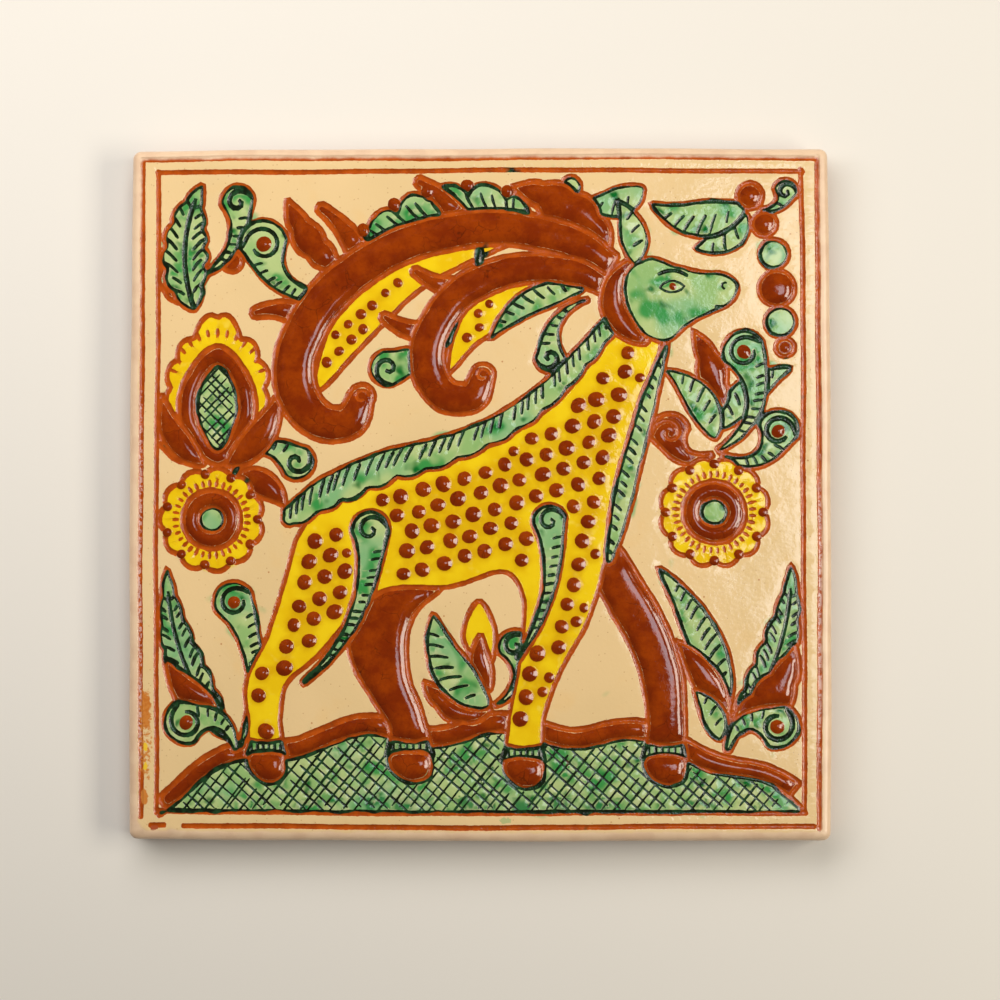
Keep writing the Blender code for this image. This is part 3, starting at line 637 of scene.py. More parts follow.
def near_cells(points, reach):
    """Every cell within reach of each point: its row and column, and the gap from it to the point."""
    span = int(np.ceil(reach / CELL))
    step = np.arange(-span, span + 1)
    offset = np.stack(np.meshgrid(step, step), -1).reshape(-1, 2)
    offset = offset[np.hypot(*offset.T) <= span]
    place = (points + TILE_SIZE / 2) / CELL - 0.5
    cell = np.round(place).astype(int)[:, None] + offset
    gap = cell - place[:, None]
    cell = np.clip(cell, 0, [COLUMNS - 1, ROWS - 1])
    return cell[..., 1], cell[..., 0], gap * CELL


def cut_scratches():
    """Depth and mark of the scratches. Across a line the depth is a level floor whose walls rise as a cosine
    to the edge, and the mark falls evenly from 1 to 0. Near its ends a line thins as a root of the
    distance."""
    depth, mark = np.zeros((2, ROWS, COLUMNS), np.float32)
    for line, half, ends in picture.lines:
        point = resample(line, CELL)
        along = CELL * np.arange(len(point))
        near_end = np.minimum(along, along[-1] - along) / min(TAPER_REACH, along[-1] / 2.2)
        taper = ends + (1 - ends) * np.clip(near_end, 0, 1) ** 0.45
        width = half * taper * (1 + 0.05 * np.sin(along / 1.3 + line[0, 0]) + 0.04 * np.sin(along / 0.45))
        row, column, gap = near_cells(point, MARK_REACH * half)
        across = np.hypot(gap[..., 0], gap[..., 1]) / width[:, None]
        wall = np.clip((across - FLOOR_SHARE) / (1 - FLOOR_SHARE), 0, 1)
        deepest = DEPTH_SHARE * half * np.clip(taper, 0.3, 1)[:, None]
        np.maximum.at(depth, (row, column), deepest * 0.5 * (1 + np.cos(np.pi * wall)))
        np.maximum.at(mark, (row, column), np.clip(1 - across / MARK_REACH, 0, 1))
    return depth, mark


def soften(field, radius):
    """Three running means over a square, one after another, which is nearly a Gaussian."""
    half = max(1, round(radius / CELL / 1.7))
    for axis in (0, 1) * 3:
        rows = np.swapaxes(field, 0, axis)
        total = np.cumsum(np.pad(rows, ((half + 1, half), (0, 0)), "edge"), axis=0, dtype=np.float64)
        field = np.swapaxes((total[2 * half + 1:] - total[:-2 * half - 1]) / (2 * half + 1), 0, axis)
    return field.astype(np.float32)


def pour_slip(slip):
    """Slip climbs from its edge and domes over its whole width: its mask softened over a short and a long
    reach, less a threshold."""
    dome = sum(share * soften(slip, reach) for share, reach in SLIP_SOFT)
    return SLIP_RISE * np.clip((dome - SLIP_FOOT) / SLIP_SPAN, 0, 1)


def drop_ring(drop, share, count):
    """Points on an oval at a share of a drop's radius."""
    x, y, radius, stretch, turn = drop
    oval = arc((0.0, 0.0), share * radius, count=count) * [stretch, 1 / stretch]
    return [x, y] + turned(oval, turn)


def set_drops():
    """Each drop is a low cone with a round tip, where the trailer let go: a hyperbola of the gap from its
    middle. Also gives where the drops lie."""
    rise, lies = np.zeros((2, ROWS, COLUMNS), np.float32)
    for x, y, radius, stretch, turn in picture.drops:
        row, column, gap = near_cells(np.array([[x, y]]), 1.25 * radius)
        along = gap[..., 0] * np.cos(turn) + gap[..., 1] * np.sin(turn)
        aside = gap[..., 1] * np.cos(turn) - gap[..., 0] * np.sin(turn)
        across = np.hypot(along / stretch, aside * stretch) / radius
        cone = np.hypot(DROP_TIP, DROP_FOOT) - np.hypot(DROP_TIP, across)
        np.maximum.at(rise, (row, column), np.clip(DROP_SLOPE * radius * cone, 0, DROP_TOP))
        np.maximum.at(lies, (row, column), across < 1)
    return rise, lies


def ripples(points, waves):
    """A sum of plane sine waves, given as height, wavelength and heading."""
    rise = np.zeros(len(points))
    for number, (height, wavelength, heading) in enumerate(waves):
        way = polar(heading)[0] * 2 * np.pi / wavelength
        rise += height * np.sin(points @ way + 1.7 * number)
    return rise


SLAB_WAVES = [(0.05, 83, 0.4), (0.04, 61, 2.1), (0.022, 29, 1.2), (0.016, 19, 2.8), (0.01, 11.3, 0.7),
              (0.008, 8.1, 1.9), (0.005, 5.3, 2.5), (0.005, 4.7, 0.2)]

colour_of = np.array(picture.finish)[picture.owner]
drop_rise, drop_mask = set_drops()
scratch_depth, scratch_mark = (field * (1 - drop_mask) for field in cut_scratches())
slip_mask = ((colour_of == BROWN) & (scratch_mark < 1 - SLIP_GAP / MARK_REACH)).astype(np.float32)
relief = soften(pour_slip(slip_mask * (1 - drop_mask)) + drop_rise - scratch_depth, 0.1)


# The tile itself: one rolled slab of red clay, cut square, with a soft round shoulder, slightly bowed sides
# and shallow grooves across its back that mortar keys into. It replaces the plainer solid of the frame.

SHOULDER = 2.0
SHOULDER_STOP = 0.05
CORNER = 2.4
FOOT_BEVEL = 0.8
RIM_INSET = 1.0
RIM_STEP = 1.5
RIM_WIDTH = 3.6
CORE = TILE_SIZE / 2 - CORNER
CORNER_STEPS = 8
SLIP_ROOM = 1.1
FACE_LEVEL = cad_high[2] / MM - SLIP_ROOM
FACE_SINK = 0.1
KEY_COUNT, KEY_WIDTH, KEY_DEPTH, KEY_MARGIN = 6, 7.0, 1.2, 22.0
KEY_PITCH = (TILE_SIZE[1] - 2 * KEY_MARGIN) / KEY_COUNT
WIDE_FROM, STROKE_FROM = 0.6, 0.38
LINE_STEP, STROKE_STEP, HATCH_STEP = 1.1, 0.9, 1.6
# Strands are shares of a scratch's half width. Rings are shares of a drop's radius, with a number of points.
WIDE_STRANDS = (-1.25, -0.85, -0.45, 0.45, 0.85, 1.25)
FINE_STRANDS = (-1.15, -0.6, 0.6, 1.15)
DROP_RINGS = ((1.2, 14), (1.0, 15), (0.68, 12), (0.32, 7))
SLIP_PITCH, PLAIN_PITCH = 1.3, 2.4
EDGE_ROWS = (1.42, 1.95)
MERGE_REACH = 0.03
SIDE_COUNTS = np.round((TILE_SIZE[::-1] - 2 * CORNER) / RIM_STEP).astype(int)
# Shares of the pattern map: the face fills most of it, the four sides stand beside it and the back over it.
FACE_SHARE, STRIP_SHARE, BACK_SHARE = 0.8, 0.0425, 0.18
MAP_MARGIN, MAP_SECOND, STRIP_PITCH = 0.005, 0.812, 0.047


def sample(raster, points):
    """The raster's value at each point, weighted between its four nearest cells."""
    place = np.clip((points + TILE_SIZE / 2) / CELL - 0.5, 0, [COLUMNS - 1.001, ROWS - 1.001])
    cell = place.astype(int)
    u, v = (place - cell).T
    column, row = cell.T
    lower = raster[row, column] * (1 - u) + raster[row, column + 1] * u
    upper = raster[row + 1, column] * (1 - u) + raster[row + 1, column + 1] * u
    return lower * (1 - v) + upper * v


def outline(inset):
    """A rectangle with round corners, inset from the tile's widest line, at even steps."""
    corners = [arc(CORE * sign, CORNER - inset, (turn - 1) * np.pi / 2, np.pi / 2, CORNER_STEPS + 1)
               for turn, sign in enumerate(((1, -1), (1, 1), (-1, 1), (-1, -1)))]
    runs = [np.linspace(here[-1], there[0], count + 1)[1:-1]
            for here, there, count in zip(corners, corners[1:] + corners[:1], np.tile(SIDE_COUNTS, 2))]
    return np.vstack([stretch for pair in zip(corners, runs) for stretch in pair])


def face_height(points):
    """The relief and the slab's unevenness, less the shoulder's drop: a quarter circle near the edge."""
    out = np.hypot(*np.maximum(np.abs(points) - CORE, 0).T) - (CORNER - SHOULDER)
    out = np.clip(out, 0, SHOULDER - SHOULDER_STOP)
    drop = SHOULDER - np.sqrt(SHOULDER**2 - out**2)
    return sample(relief, points) + ripples(points, SLAB_WAVES) - FACE_SINK - drop


def face_strands():
    """The lines that the face's triangles follow: the floor, the walls and the edges of each scratch, round
    caps at the ends of the wide ones, and rings on each drop."""
    strands = []
    for line, half, _ in picture.lines:
        wide = half > WIDE_FROM
        line = resample(line, LINE_STEP if wide else STROKE_STEP if half > STROKE_FROM else HATCH_STEP)
        left = sides(line) * half
        strands += [line + left * offset for offset in (WIDE_STRANDS if wide else FINE_STRANDS)]
        for end, away in ((0, 0.6), (-1, -0.4)) if wide else ():
            heading = np.arctan2(-left[end, 0], left[end, 1])
            strands.append(arc(line[end], 1.25 * half, heading + away * np.pi, 0.8 * np.pi, 4))
    for drop in picture.drops:
        strands += [drop_ring(drop, share, count) for share, count in DROP_RINGS]
        strands.append(np.array([drop[:2]]))
    return strands


def within(points, margin):
    """Which points lie on the face, a margin inside its rim."""
    return np.all(np.abs(points) < TILE_SIZE / 2 - RIM_INSET - margin, axis=1)


def scattered(pitch, wanted):
    """Points of a staggered grid over the face, where wanted holds and no scratch is near."""
    x = np.arange(-TILE_SIZE[0] / 2, TILE_SIZE[0] / 2, pitch)
    y = np.arange(-TILE_SIZE[1] / 2, TILE_SIZE[1] / 2, 0.87 * pitch)
    grid = np.stack(np.meshgrid(x, y), -1)
    grid[1::2, :, 0] += 0.5 * pitch
    grid = grid.reshape(-1, 2)
    grid = grid[within(grid, 0.6 * pitch)]
    return grid[wanted(grid) & (sample(scratch_mark, grid) == 0) & (sample(drop_rise, grid) == 0)]


def sheet(loop, strands, loose, height):
    """Triangles over the inside of a closed loop, with edges along the strands, at the height of a function.
    Also gives where each point of the loop went."""
    chains = [np.vstack([loop, loop[:1]]), *strands]
    first = np.cumsum([0] + [len(chain) for chain in chains])
    edges = np.column_stack([np.arange(first[-1] - 1), np.arange(1, first[-1])])
    edges = np.delete(edges, first[1:-1] - 1, axis=0)
    flat, _, triangles, origins, *_ = delaunay_2d_cdt(
        np.vstack([*chains, loose]), edges.tolist(), [], 1, MERGE_REACH, True)
    sizes = np.fromiter(map(len, origins), int, len(origins))
    went = np.zeros(first[-1] + len(loose), int)
    went[np.fromiter(itertools.chain.from_iterable(origins), int, sizes.sum())] = np.repeat(
        np.arange(len(origins)), sizes)
    flat = np.array(flat)
    return np.column_stack([flat, height(flat)]), np.array(triangles), went[:len(loop)]


def key_strands():
    """Three rectangles, one in another, for each shallow groove of the back."""
    strands = []
    for y in (np.arange(KEY_COUNT) - (KEY_COUNT - 1) / 2) * KEY_PITCH:
        for inset in (0.0, 0.5 * KEY_DEPTH, KEY_DEPTH):
            x, half = TILE_SIZE[0] / 2 - KEY_MARGIN - inset, KEY_WIDTH / 2 - inset
            corners = [(-x, y - half), (x, y - half), (x, y + half), (-x, y + half), (-x, y - half)]
            strands.append(resample(np.array(corners), 3.0))
    return strands


def key_height(points):
    """The back is level, and rises into each key groove on a cosine as deep as it is wide."""
    place = points[:, 1] / KEY_PITCH + (KEY_COUNT - 1) / 2
    across = np.abs(place - np.clip(np.round(place), 0, KEY_COUNT - 1)) * KEY_PITCH
    inside = np.minimum(KEY_WIDTH / 2 - across, TILE_SIZE[0] / 2 - KEY_MARGIN - np.abs(points[:, 0]))
    return 0.5 * KEY_DEPTH * (1 - np.cos(np.pi * np.clip(inside / KEY_DEPTH, 0, 1)))


def settle(points):
    """The sides bow out between the corners on a parabola, less a small waver where the wire cut them: two
    sines of the distance along the side."""
    x, y, z = points.T
    waver_x = 0.12 + 0.07 * np.sin(y / 17.0 + 2.0 * np.sign(x)) + 0.05 * np.sin(y / 7.3 + 1.0)
    waver_y = 0.12 + 0.07 * np.sin(x / 15.0 + 2.5 * np.sign(y)) + 0.05 * np.sin(x / 6.7 + 2.0)
    edge_x, edge_y = np.abs(points[:, :2].T) / (TILE_SIZE / 2)[:, None]
    x = x + np.sign(x) * edge_x**3 * (SIDE_BOW * (1 - (2 * y / TILE_SIZE[1]) ** 2) - waver_x * edge_x**12)
    y = y + np.sign(y) * edge_y**3 * (SIDE_BOW * (1 - (2 * x / TILE_SIZE[0]) ** 2) - waver_y * edge_y**12)
    return np.column_stack([x, y, z])


def edge_profile():
    """Inset and height of each ring: down the round shoulder, down the side and round the foot."""
    turn = np.linspace(np.arcsin((SHOULDER - RIM_INSET) / SHOULDER), np.pi / 2, 7)[1:]
    level = FACE_LEVEL - FACE_SINK
    shoulder = np.column_stack([SHOULDER * (1 - np.sin(turn)), level - SHOULDER * (1 - np.cos(turn))])
    side = np.column_stack([np.zeros(3), np.linspace(shoulder[-1, 1], FOOT_BEVEL, 5)[1:-1]])
    turn = np.linspace(0.0, np.pi / 2, 4)[:-1]
    foot = np.column_stack([FOOT_BEVEL * (1 - np.cos(turn)), FOOT_BEVEL * (1 - np.sin(turn))])
    return np.vstack([shoulder, side, foot])


def face_loose():
    """Loose points of the face: a close grid on the slip with rows along its edges, a wide one elsewhere."""
    close = scattered(SLIP_PITCH, lambda p: sample(slip_mask, p) > 0.5)
    plain = scattered(PLAIN_PITCH, lambda p: sample(slip_mask, p) < 0.5)
    lines = [resample(line, SLIP_PITCH) for line, half, _ in picture.lines if half > WIDE_FROM]
    rows = [side * row for row in EDGE_ROWS for side in (-1, 1)]
    beside = np.vstack([line + sides(line) * row for line in lines for row in rows])
    beside = beside[within(beside, SLIP_PITCH)]
    beside = beside[(sample(slip_mask, beside) > 0.9) & (sample(scratch_mark, beside) == 0)]
    return np.vstack([close, plain, beside])


def flat_map(points, corner, share):
    """Place on the pattern map of a part seen from above, scaled to a share of the map."""
    return corner + (points[:, :2] / TILE_SIZE.max() + 0.5) * share


def strip_map(rings):
    """Place on the pattern map of the four corners of each edge quad: the edge is cut at the corners of the
    tile into four strips, laid side by side at the right of the face."""
    length = CORNER_STEPS + np.tile(SIDE_COUNTS, 2)
    strip = np.repeat(np.arange(4), length)
    along = np.concatenate([np.arange(count) for count in length])
    ring, place = np.divmod(np.arange(rings * len(strip)), len(strip))
    u = np.stack([ring, ring + 1, ring + 1, ring], 1) * STRIP_SHARE / rings
    v = (along[place][:, None] + [0, 0, 1, 1]) / length[strip[place]][:, None]
    u = MAP_SECOND + STRIP_PITCH * strip[place][:, None] + u
    return np.stack([u, MAP_MARGIN + FACE_SHARE * v], -1)


def build_tile():
    """Face, back and edge rings, joined along shared points. Gives the points, the triangles, each one's
    corners on the pattern map, and the normals of the face: the gradient of its height."""
    face, face_triangles, face_rim = sheet(outline(RIM_INSET), face_strands(), face_loose(), face_height)
    back, back_triangles, back_rim = sheet(outline(FOOT_BEVEL), key_strands(), np.zeros((0, 2)), key_height)
    slope = [face_height(face[:, :2] + way) - face_height(face[:, :2] - way) for way in np.eye(2) * CELL]
    lean = np.column_stack([-slope[0], -slope[1], np.full(len(face), 2 * CELL)])
    lean /= np.linalg.norm(lean, axis=1)[:, None]
    face[:, 2] += FACE_LEVEL
    around = len(face_rim)
    rings = [np.column_stack([outline(inset), np.full(around, z)]) for inset, z in edge_profile()]
    first_ring = len(face) + len(back)
    ladder = (np.arange(len(rings) * around) + first_ring).reshape(-1, around)
    ladder = [face_rim, *ladder, back_rim + len(face)]
    quads = np.vstack([np.column_stack([upper, lower, np.roll(lower, -1), np.roll(upper, -1)])
                       for upper, lower in zip(ladder[:-1], ladder[1:])])
    quad_map = strip_map(len(ladder) - 1)
    triangles = np.vstack([face_triangles, back_triangles[:, ::-1] + len(face),
                           quads[:, [0, 1, 2]], quads[:, [0, 2, 3]]])
    corners = np.vstack([flat_map(face, MAP_MARGIN, FACE_SHARE)[face_triangles],
                         flat_map(back, [MAP_MARGIN, MAP_SECOND], BACK_SHARE)[back_triangles[:, ::-1]],
                         quad_map[:, [0, 1, 2]], quad_map[:, [0, 2, 3]]])
    bare = np.repeat([0, 1, 0], [len(face_triangles), len(back_triangles), 2 * len(quads)])
    return np.vstack([face, back, *rings]), triangles, corners, bare, lean


def add_mark(mesh, name, values):
    """One number for each point of the mesh, which a finish reads by its name."""
    mesh.attributes.new(name, "FLOAT", "POINT").data.foreach_set("value", values.astype(np.float32))


points, triangles, corners, bare, lean = build_tile()
mesh = bpy.data.meshes.new("glazed_tile")
mesh.from_pydata((settle(points) * MM).tolist(), [], triangles.tolist())
mesh.uv_layers.new(name="OFBake").data.foreach_set("uv", corners.astype(np.float32).ravel())
mesh.polygons.foreach_set("material_index", bare.astype(np.int32))
mesh.shade_smooth()
mesh.update()
normals = np.zeros(3 * len(points), np.float32)
mesh.vertex_normals.foreach_get("vector", normals)
normals = normals.reshape(-1, 3)
normals[:len(lean)] = lean
mesh.normals_split_custom_set_from_vertices(normals.tolist())

green_mask = (colour_of == GREEN).astype(np.float32)
yellow_mask = (colour_of == YELLOW).astype(np.float32)
on_face = points[:len(lean), :2]
# The last mark, the drops softened wide, carries painted shade round the drops, partly glaze gathered there.
for name, raster in (("scratch", scratch_mark), ("brown", soften(np.maximum(slip_mask, drop_mask), 0.17)),
                     ("green", soften(green_mask, 0.6)), ("green_wash", soften(green_mask, 2.4)),
                     ("yellow", soften(yellow_mask, 0.6)), ("yellow_wash", soften(yellow_mask, 2.4)),
                     ("drop_shade_and_pool", soften(drop_mask, 1.8))):
    add_mark(mesh, name, np.append(sample(raster, on_face), np.zeros(len(points) - len(on_face))))
into_rim = np.hypot(*np.maximum(np.abs(points[:, :2]) - TILE_SIZE / 2 + RIM_WIDTH, 0).T)
add_mark(mesh, "rim", np.clip(into_rim / RIM_WIDTH, 0, 1))

tile = bpy.data.objects.new("glazed_tile", mesh)
bpy.context.collection.objects.link(tile)
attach(tile, "root")
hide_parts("tile")


# The finishes of the face. Clear glaze lies over cream slip with specks of iron; copper green pools in blots,
# yellow is darkened round the drops with painted shade, partly glaze gathered there, brown slip is crazed,
# and green runs black into the scratches.

# Colours are linear red, green and blue.
CREAM_COOL = (0.760, 0.545, 0.270)
CREAM_WARM = (0.805, 0.575, 0.290)
THIN_CREAM = (0.80, 0.51, 0.20)
PINHOLE = (0.32, 0.12, 0.03)
IRON = (0.42, 0.12, 0.02)
MINT = (0.45, 0.555, 0.22)
SAGE = (0.29, 0.47, 0.16)
SEA_GREEN = (0.18, 0.43, 0.20)
EMERALD = (0.03, 0.27, 0.055)
DEEP_GREEN = (0.002, 0.13, 0.018)
FOOT_GREEN = (0.008, 0.17, 0.04)
DRAWN_GREEN = (0.56, 0.60, 0.30)
GREEN_HALO = (0.16, 0.42, 0.16)
BLACK = (0.006, 0.012, 0.004)
BLACK_GREEN = (0.014, 0.055, 0.018)
YOLK = (0.87, 0.60, 0.008)
HONEY = (0.80, 0.505, 0.004)
STRAW = (0.90, 0.68, 0.08)
# Painted shade round the feet of the drops, partly glaze gathered there.
DROP_SHADE_AMBER = (0.58, 0.27, 0.001)
DRAWN_YELLOW = (0.72, 0.40, 0.004)
YELLOW_HALO = (0.84, 0.60, 0.05)
SLIP_DARK = (0.205, 0.021, 0.0005)
SLIP_WARM = (0.31, 0.042, 0.0006)
SLIP_MOTTLE = (0.15, 0.016, 0.0005)
SLIP_CRACK = (0.06, 0.008, 0.0005)
CLAY_BRIGHT = (0.48, 0.083, 0.005)
CLAY_DULL = (0.35, 0.054, 0.003)
CLAY_DEEP = (0.28, 0.04, 0.003)
RUBBED_RED = (0.56, 0.17, 0.025)
RUBBED_PALE = (0.62, 0.22, 0.04)
RUBBED_RIM = (0.70, 0.36, 0.15)
YELLOW_CHIP = (0.86, 0.55, 0.04)
# A painted highlight: the pale glint stripe in the outer side lines.
PAINTED_GLINT_STRIPE = (0.76, 0.58, 0.52)
GREEN_FLECK = (0.25, 0.45, 0.18)
BARE_STREAK = (0.33, 0.07, 0.02)
CHIP = (0.36, 0.07, 0.02)
RIM_PALE = (0.81, 0.58, 0.38)
RIM_WARM = (0.745, 0.51, 0.33)
# Painted shade: the tile's edge darker and greyer lower down.
SIDE_SHADE_GREY = (0.48, 0.33, 0.26)
SIDE_CLAY = (0.50, 0.18, 0.08)
BACK_CLAY = (0.46, 0.155, 0.065)
BACK_PALE = (0.56, 0.22, 0.10)
GROG = (0.36, 0.11, 0.045)
SLIP_SMEAR = (0.62, 0.40, 0.27)
DUST = (0.66, 0.50, 0.36)


class Finish:
    """A material's nodes. Each call adds one and gives its output, which other calls take."""

    def __init__(self, name):
        self.material = bpy.data.materials.new(name)
        self.material.use_nodes = True
        self.tree = self.material.node_tree
        self.shader = self.tree.nodes["Principled BSDF"]
        self.place = self.tree.nodes.new("ShaderNodeTexCoord").outputs["Object"]

    def add(self, kind, inputs, output=0, **settings):
        """A node of a kind, with values or other nodes' outputs at its numbered or named inputs."""
        node = self.tree.nodes.new(kind)
        for name, value in settings.items():
            setattr(node, name, value)
        for socket, value in inputs.items():
            if isinstance(value, bpy.types.NodeSocket):
                self.tree.links.new(value, node.inputs[socket])
            else:
                node.inputs[socket].default_value = value
        return node.outputs[output]

    def mark(self, name):
        """The number that the mesh holds under a name, between its points."""
        return self.add("ShaderNodeAttribute", {}, "Fac", attribute_name=name)

    def noise(self, size, detail=2.0, rough=0.5, shift=0.0):
        """Soft blots about size millimetres across, from 0 to 1. A shift gives other blots of the size."""
        where = self.add("ShaderNodeVectorMath", {0: self.place, 1: (shift, 0.3 * shift, 0.0)},
                         operation="ADD")
        return self.add("ShaderNodeTexNoise", {"Vector": where, "Scale": 1.0 / (size * MM),
                                               "Detail": detail, "Roughness": rough})

    def step(self, value, low, high, top=1.0):
        """0 below low, top above high, smooth between."""
        return self.add("ShaderNodeMapRange", {0: value, 1: low, 2: high, 4: top},
                        interpolation_type="SMOOTHSTEP")

    def sum(self, a, b):
        """One value plus another."""
        return self.add("ShaderNodeMath", {0: a, 1: b}, operation="ADD")

    def times(self, a, b):
        """One value times another."""
        return self.add("ShaderNodeMath", {0: a, 1: b}, operation="MULTIPLY")

    def stir(self, value, noise, amount):
        """The value, moved up or down by up to half the amount where the noise is high or low."""
        return self.add("ShaderNodeMath", {0: noise, 1: amount, 2: self.sum(value, -0.5 * amount)},
                        operation="MULTIPLY_ADD")

    def blend(self, share, a, b):
        """Colour a where the share is 0 and b where it is 1."""
        a, b = ((*c, 1.0) if isinstance(c, tuple) else c for c in (a, b))
        return self.add("ShaderNodeMix", {0: share, 6: a, 7: b}, 2, data_type="RGBA")

    def patch(self, centre, halves, ragged=0.9):
        """1 inside a ragged oval patch of the face, given by its centre and half axes, and 0 outside it."""
        middle = (centre[0] * MM, centre[1] * MM, cad_high[2])
        gap = self.add("ShaderNodeVectorMath", {0: self.place, 1: middle}, operation="SUBTRACT")
        size = (halves[0] * MM, halves[1] * MM, 1.0)
        gap = self.add("ShaderNodeVectorMath", {0: gap, 1: size}, operation="DIVIDE")
        gap = self.add("ShaderNodeVectorMath", {0: gap}, "Value", operation="LENGTH")
        return self.step(self.stir(gap, self.noise(1.5, 3.0, 0.6, centre[0]), 2 * ragged), 1.0, 0.8)

    def spots(self, pitch, radius, shift=0.0):
        """Round spots of a radius in a few cells of a random lattice."""
        where = self.add("ShaderNodeVectorMath", {0: self.place, 1: (shift, shift, 0.0)}, operation="ADD")
        gap = self.add("ShaderNodeTexVoronoi", {"Vector": where, "Scale": 1.0 / (pitch * MM)}, "Distance",
                       voronoi_dimensions="2D")
        return self.step(gap, 1.3 * radius / pitch, 0.6 * radius / pitch)

    def cracks(self, size, width):
        """Thin lines along the borders of random cells."""
        wander = self.add("ShaderNodeTexNoise", {"Vector": self.place, "Scale": 1.0 / (0.5 * size * MM)}, 1)
        bent = self.add("ShaderNodeVectorMath", {0: wander, 1: (0.4 * size * MM,) * 3, 2: self.place},
                        operation="MULTIPLY_ADD")
        gap = self.add("ShaderNodeTexVoronoi", {"Vector": bent, "Scale": 1.0 / (size * MM)}, "Distance",
                       feature="DISTANCE_TO_EDGE")
        return self.step(gap, width / size, 0.3 * width / size)


def cream_slip(f):
    """Cream with slow clouds, warmer where the slip is thin, with pinholes and specks of iron."""
    colour = f.blend(f.step(f.noise(42), 0.35, 0.65), CREAM_COOL, CREAM_WARM)
    colour = f.blend(f.step(f.noise(9, 3.0, shift=3.0), 0.54, 0.78, 0.35), colour, THIN_CREAM)
    specks = f.times(f.spots(3.9, 0.17), f.step(f.noise(8, shift=7.0), 0.42, 0.50, 0.45))
    colour = f.blend(specks, colour, PINHOLE)
    iron = f.times(f.spots(12.0, 0.26, 5.0), f.step(f.noise(12, shift=9.0), 0.5, 0.55, 0.7))
    return f.blend(iron, colour, IRON)


def green_glaze(f, fringe):
    """Pale mint where the copper is thin, emerald where it pools and along the hill's foot, bluer in broad
    patches, and almost cream where it draws back from a scratch."""
    colour = f.blend(f.step(f.noise(8, 1.0), 0.38, 0.62), MINT, SAGE)
    colour = f.blend(f.step(f.noise(17, 1.0, shift=2.0), 0.5, 0.68, 0.65), colour, SEA_GREEN)
    colour = f.blend(f.step(f.noise(6.5, 1.0, shift=4.0), 0.50, 0.70, 0.95), colour, EMERALD)
    colour = f.blend(f.step(f.noise(5.2, 1.0, shift=6.0), 0.58, 0.74), colour, DEEP_GREEN)
    pools = f.step(f.noise(6.0, shift=13.0), 0.46, 0.62, 0.85)
    foot = f.patch((8.0, -88.2), (78.0, 2.4), 0.5)
    colour = f.blend(f.times(foot, pools), colour, FOOT_GREEN)
    drawn = f.times(fringe, f.step(f.noise(3.0, shift=12.0), 0.42, 0.68, 0.8))
    return f.blend(drawn, colour, DRAWN_GREEN)


def yellow_glaze(f, fringe):
    """Strong yellow, deeper where it gathers, paler where it runs thin, and darkened round the drops with
    painted shade, partly glaze gathered there.
    """
    colour = f.blend(f.step(f.noise(8, 2.0, shift=1.0), 0.34, 0.68), YOLK, HONEY)
    colour = f.blend(f.step(f.noise(4.2, 2.0, shift=8.0), 0.62, 0.76, 0.5), colour, STRAW)
    # Painted shade: the yellow darkens all round each drop, partly glaze gathered there.
    colour = f.blend(f.step(f.mark("drop_shade_and_pool"), 0.05, 0.55, 0.95), colour, DROP_SHADE_AMBER)
    return f.blend(f.times(fringe, 0.45), colour, DRAWN_YELLOW)


def brown_slip(f):
    """Orange-brown, slowly mottled, with fine dark crazing."""
    colour = f.blend(f.step(f.noise(6.5, 4.0, 0.6, 2.5), 0.36, 0.66), SLIP_DARK, SLIP_WARM)
    colour = f.blend(f.step(f.noise(0.8, 2.0, 0.6), 0.46, 0.74, 0.3), colour, SLIP_MOTTLE)
    crazing = f.times(f.cracks(5.0, 0.11), f.step(f.noise(8.0, shift=5.5), 0.48, 0.62, 0.55))
    return f.blend(crazing, colour, SLIP_CRACK)


def scratched_clay(f):
    """Clay laid bare under clear glaze, darker where the tool went deep."""
    colour = f.blend(f.step(f.noise(3.2, 3.0, shift=6.5), 0.34, 0.66), CLAY_BRIGHT, CLAY_DULL)
    return f.blend(f.step(f.mark("scratch"), 0.6, 1.0, 0.3), colour, CLAY_DEEP)


def wear(f, colour):
    """What age and handling left, each on its place: a rubbed strip between the left lines, a green fleck
    under the picture, and chips and a bare streak at the right. Besides these, a ragged pale stripe in both
    outer side lines is a painted highlight, a glint along the scratch."""
    grit = f.step(f.noise(1.0, 3.0, 0.7, 4.2), 0.42, 0.56)
    colour = f.blend(f.patch((-94.9, -61.5), (1.6, 5.5), 0.8), colour, RUBBED_RED)
    colour = f.blend(f.times(f.patch((-94.8, -69.0), (1.9, 13.0)), grit), colour, RUBBED_PALE)
    colour = f.blend(f.patch((-95.0, -86.0), (1.1, 2.4), 0.6), colour, RUBBED_PALE)
    colour = f.blend(f.times(f.patch((-98.5, -68.0), (0.8, 10.0)), grit), colour, RUBBED_RIM)
    for y in (-72.0, -77.5):
        colour = f.blend(f.patch((-94.8, y), (0.7, 1.2), 1.1), colour, YELLOW_CHIP)
    # Painted highlight: a ragged pale glint stripe down the middle of both outer side lines.
    ragged = f.step(f.noise(0.9, 2.0, 0.6, 8.8), 0.46, 0.54, 0.7)
    glint_core = f.times(f.step(f.mark("scratch"), 0.62, 0.76), ragged)
    for x, y, reach in ((-97.2, -30.0, 66.0), (97.2, -40.0, 52.0)):
        colour = f.blend(f.times(f.patch((x, y), (1.9, reach), 0.35), glint_core), colour, PAINTED_GLINT_STRIPE)
    colour = f.blend(f.times(f.patch((7.3, -92.7), (1.6, 1.0)), 0.6), colour, GREEN_FLECK)
    colour = f.blend(f.patch((98.7, -90.5), (0.7, 5.5), 0.4), colour, BARE_STREAK)
    for x, y, radius in ((96.5, -96.3, 0.8), (98.5, -96.6, 0.6), (98.8, -82.3, 0.7), (-92.0, -94.8, 0.8)):
        colour = f.blend(f.patch((x, y), (1.3 * radius, radius)), colour, CHIP)
    return colour


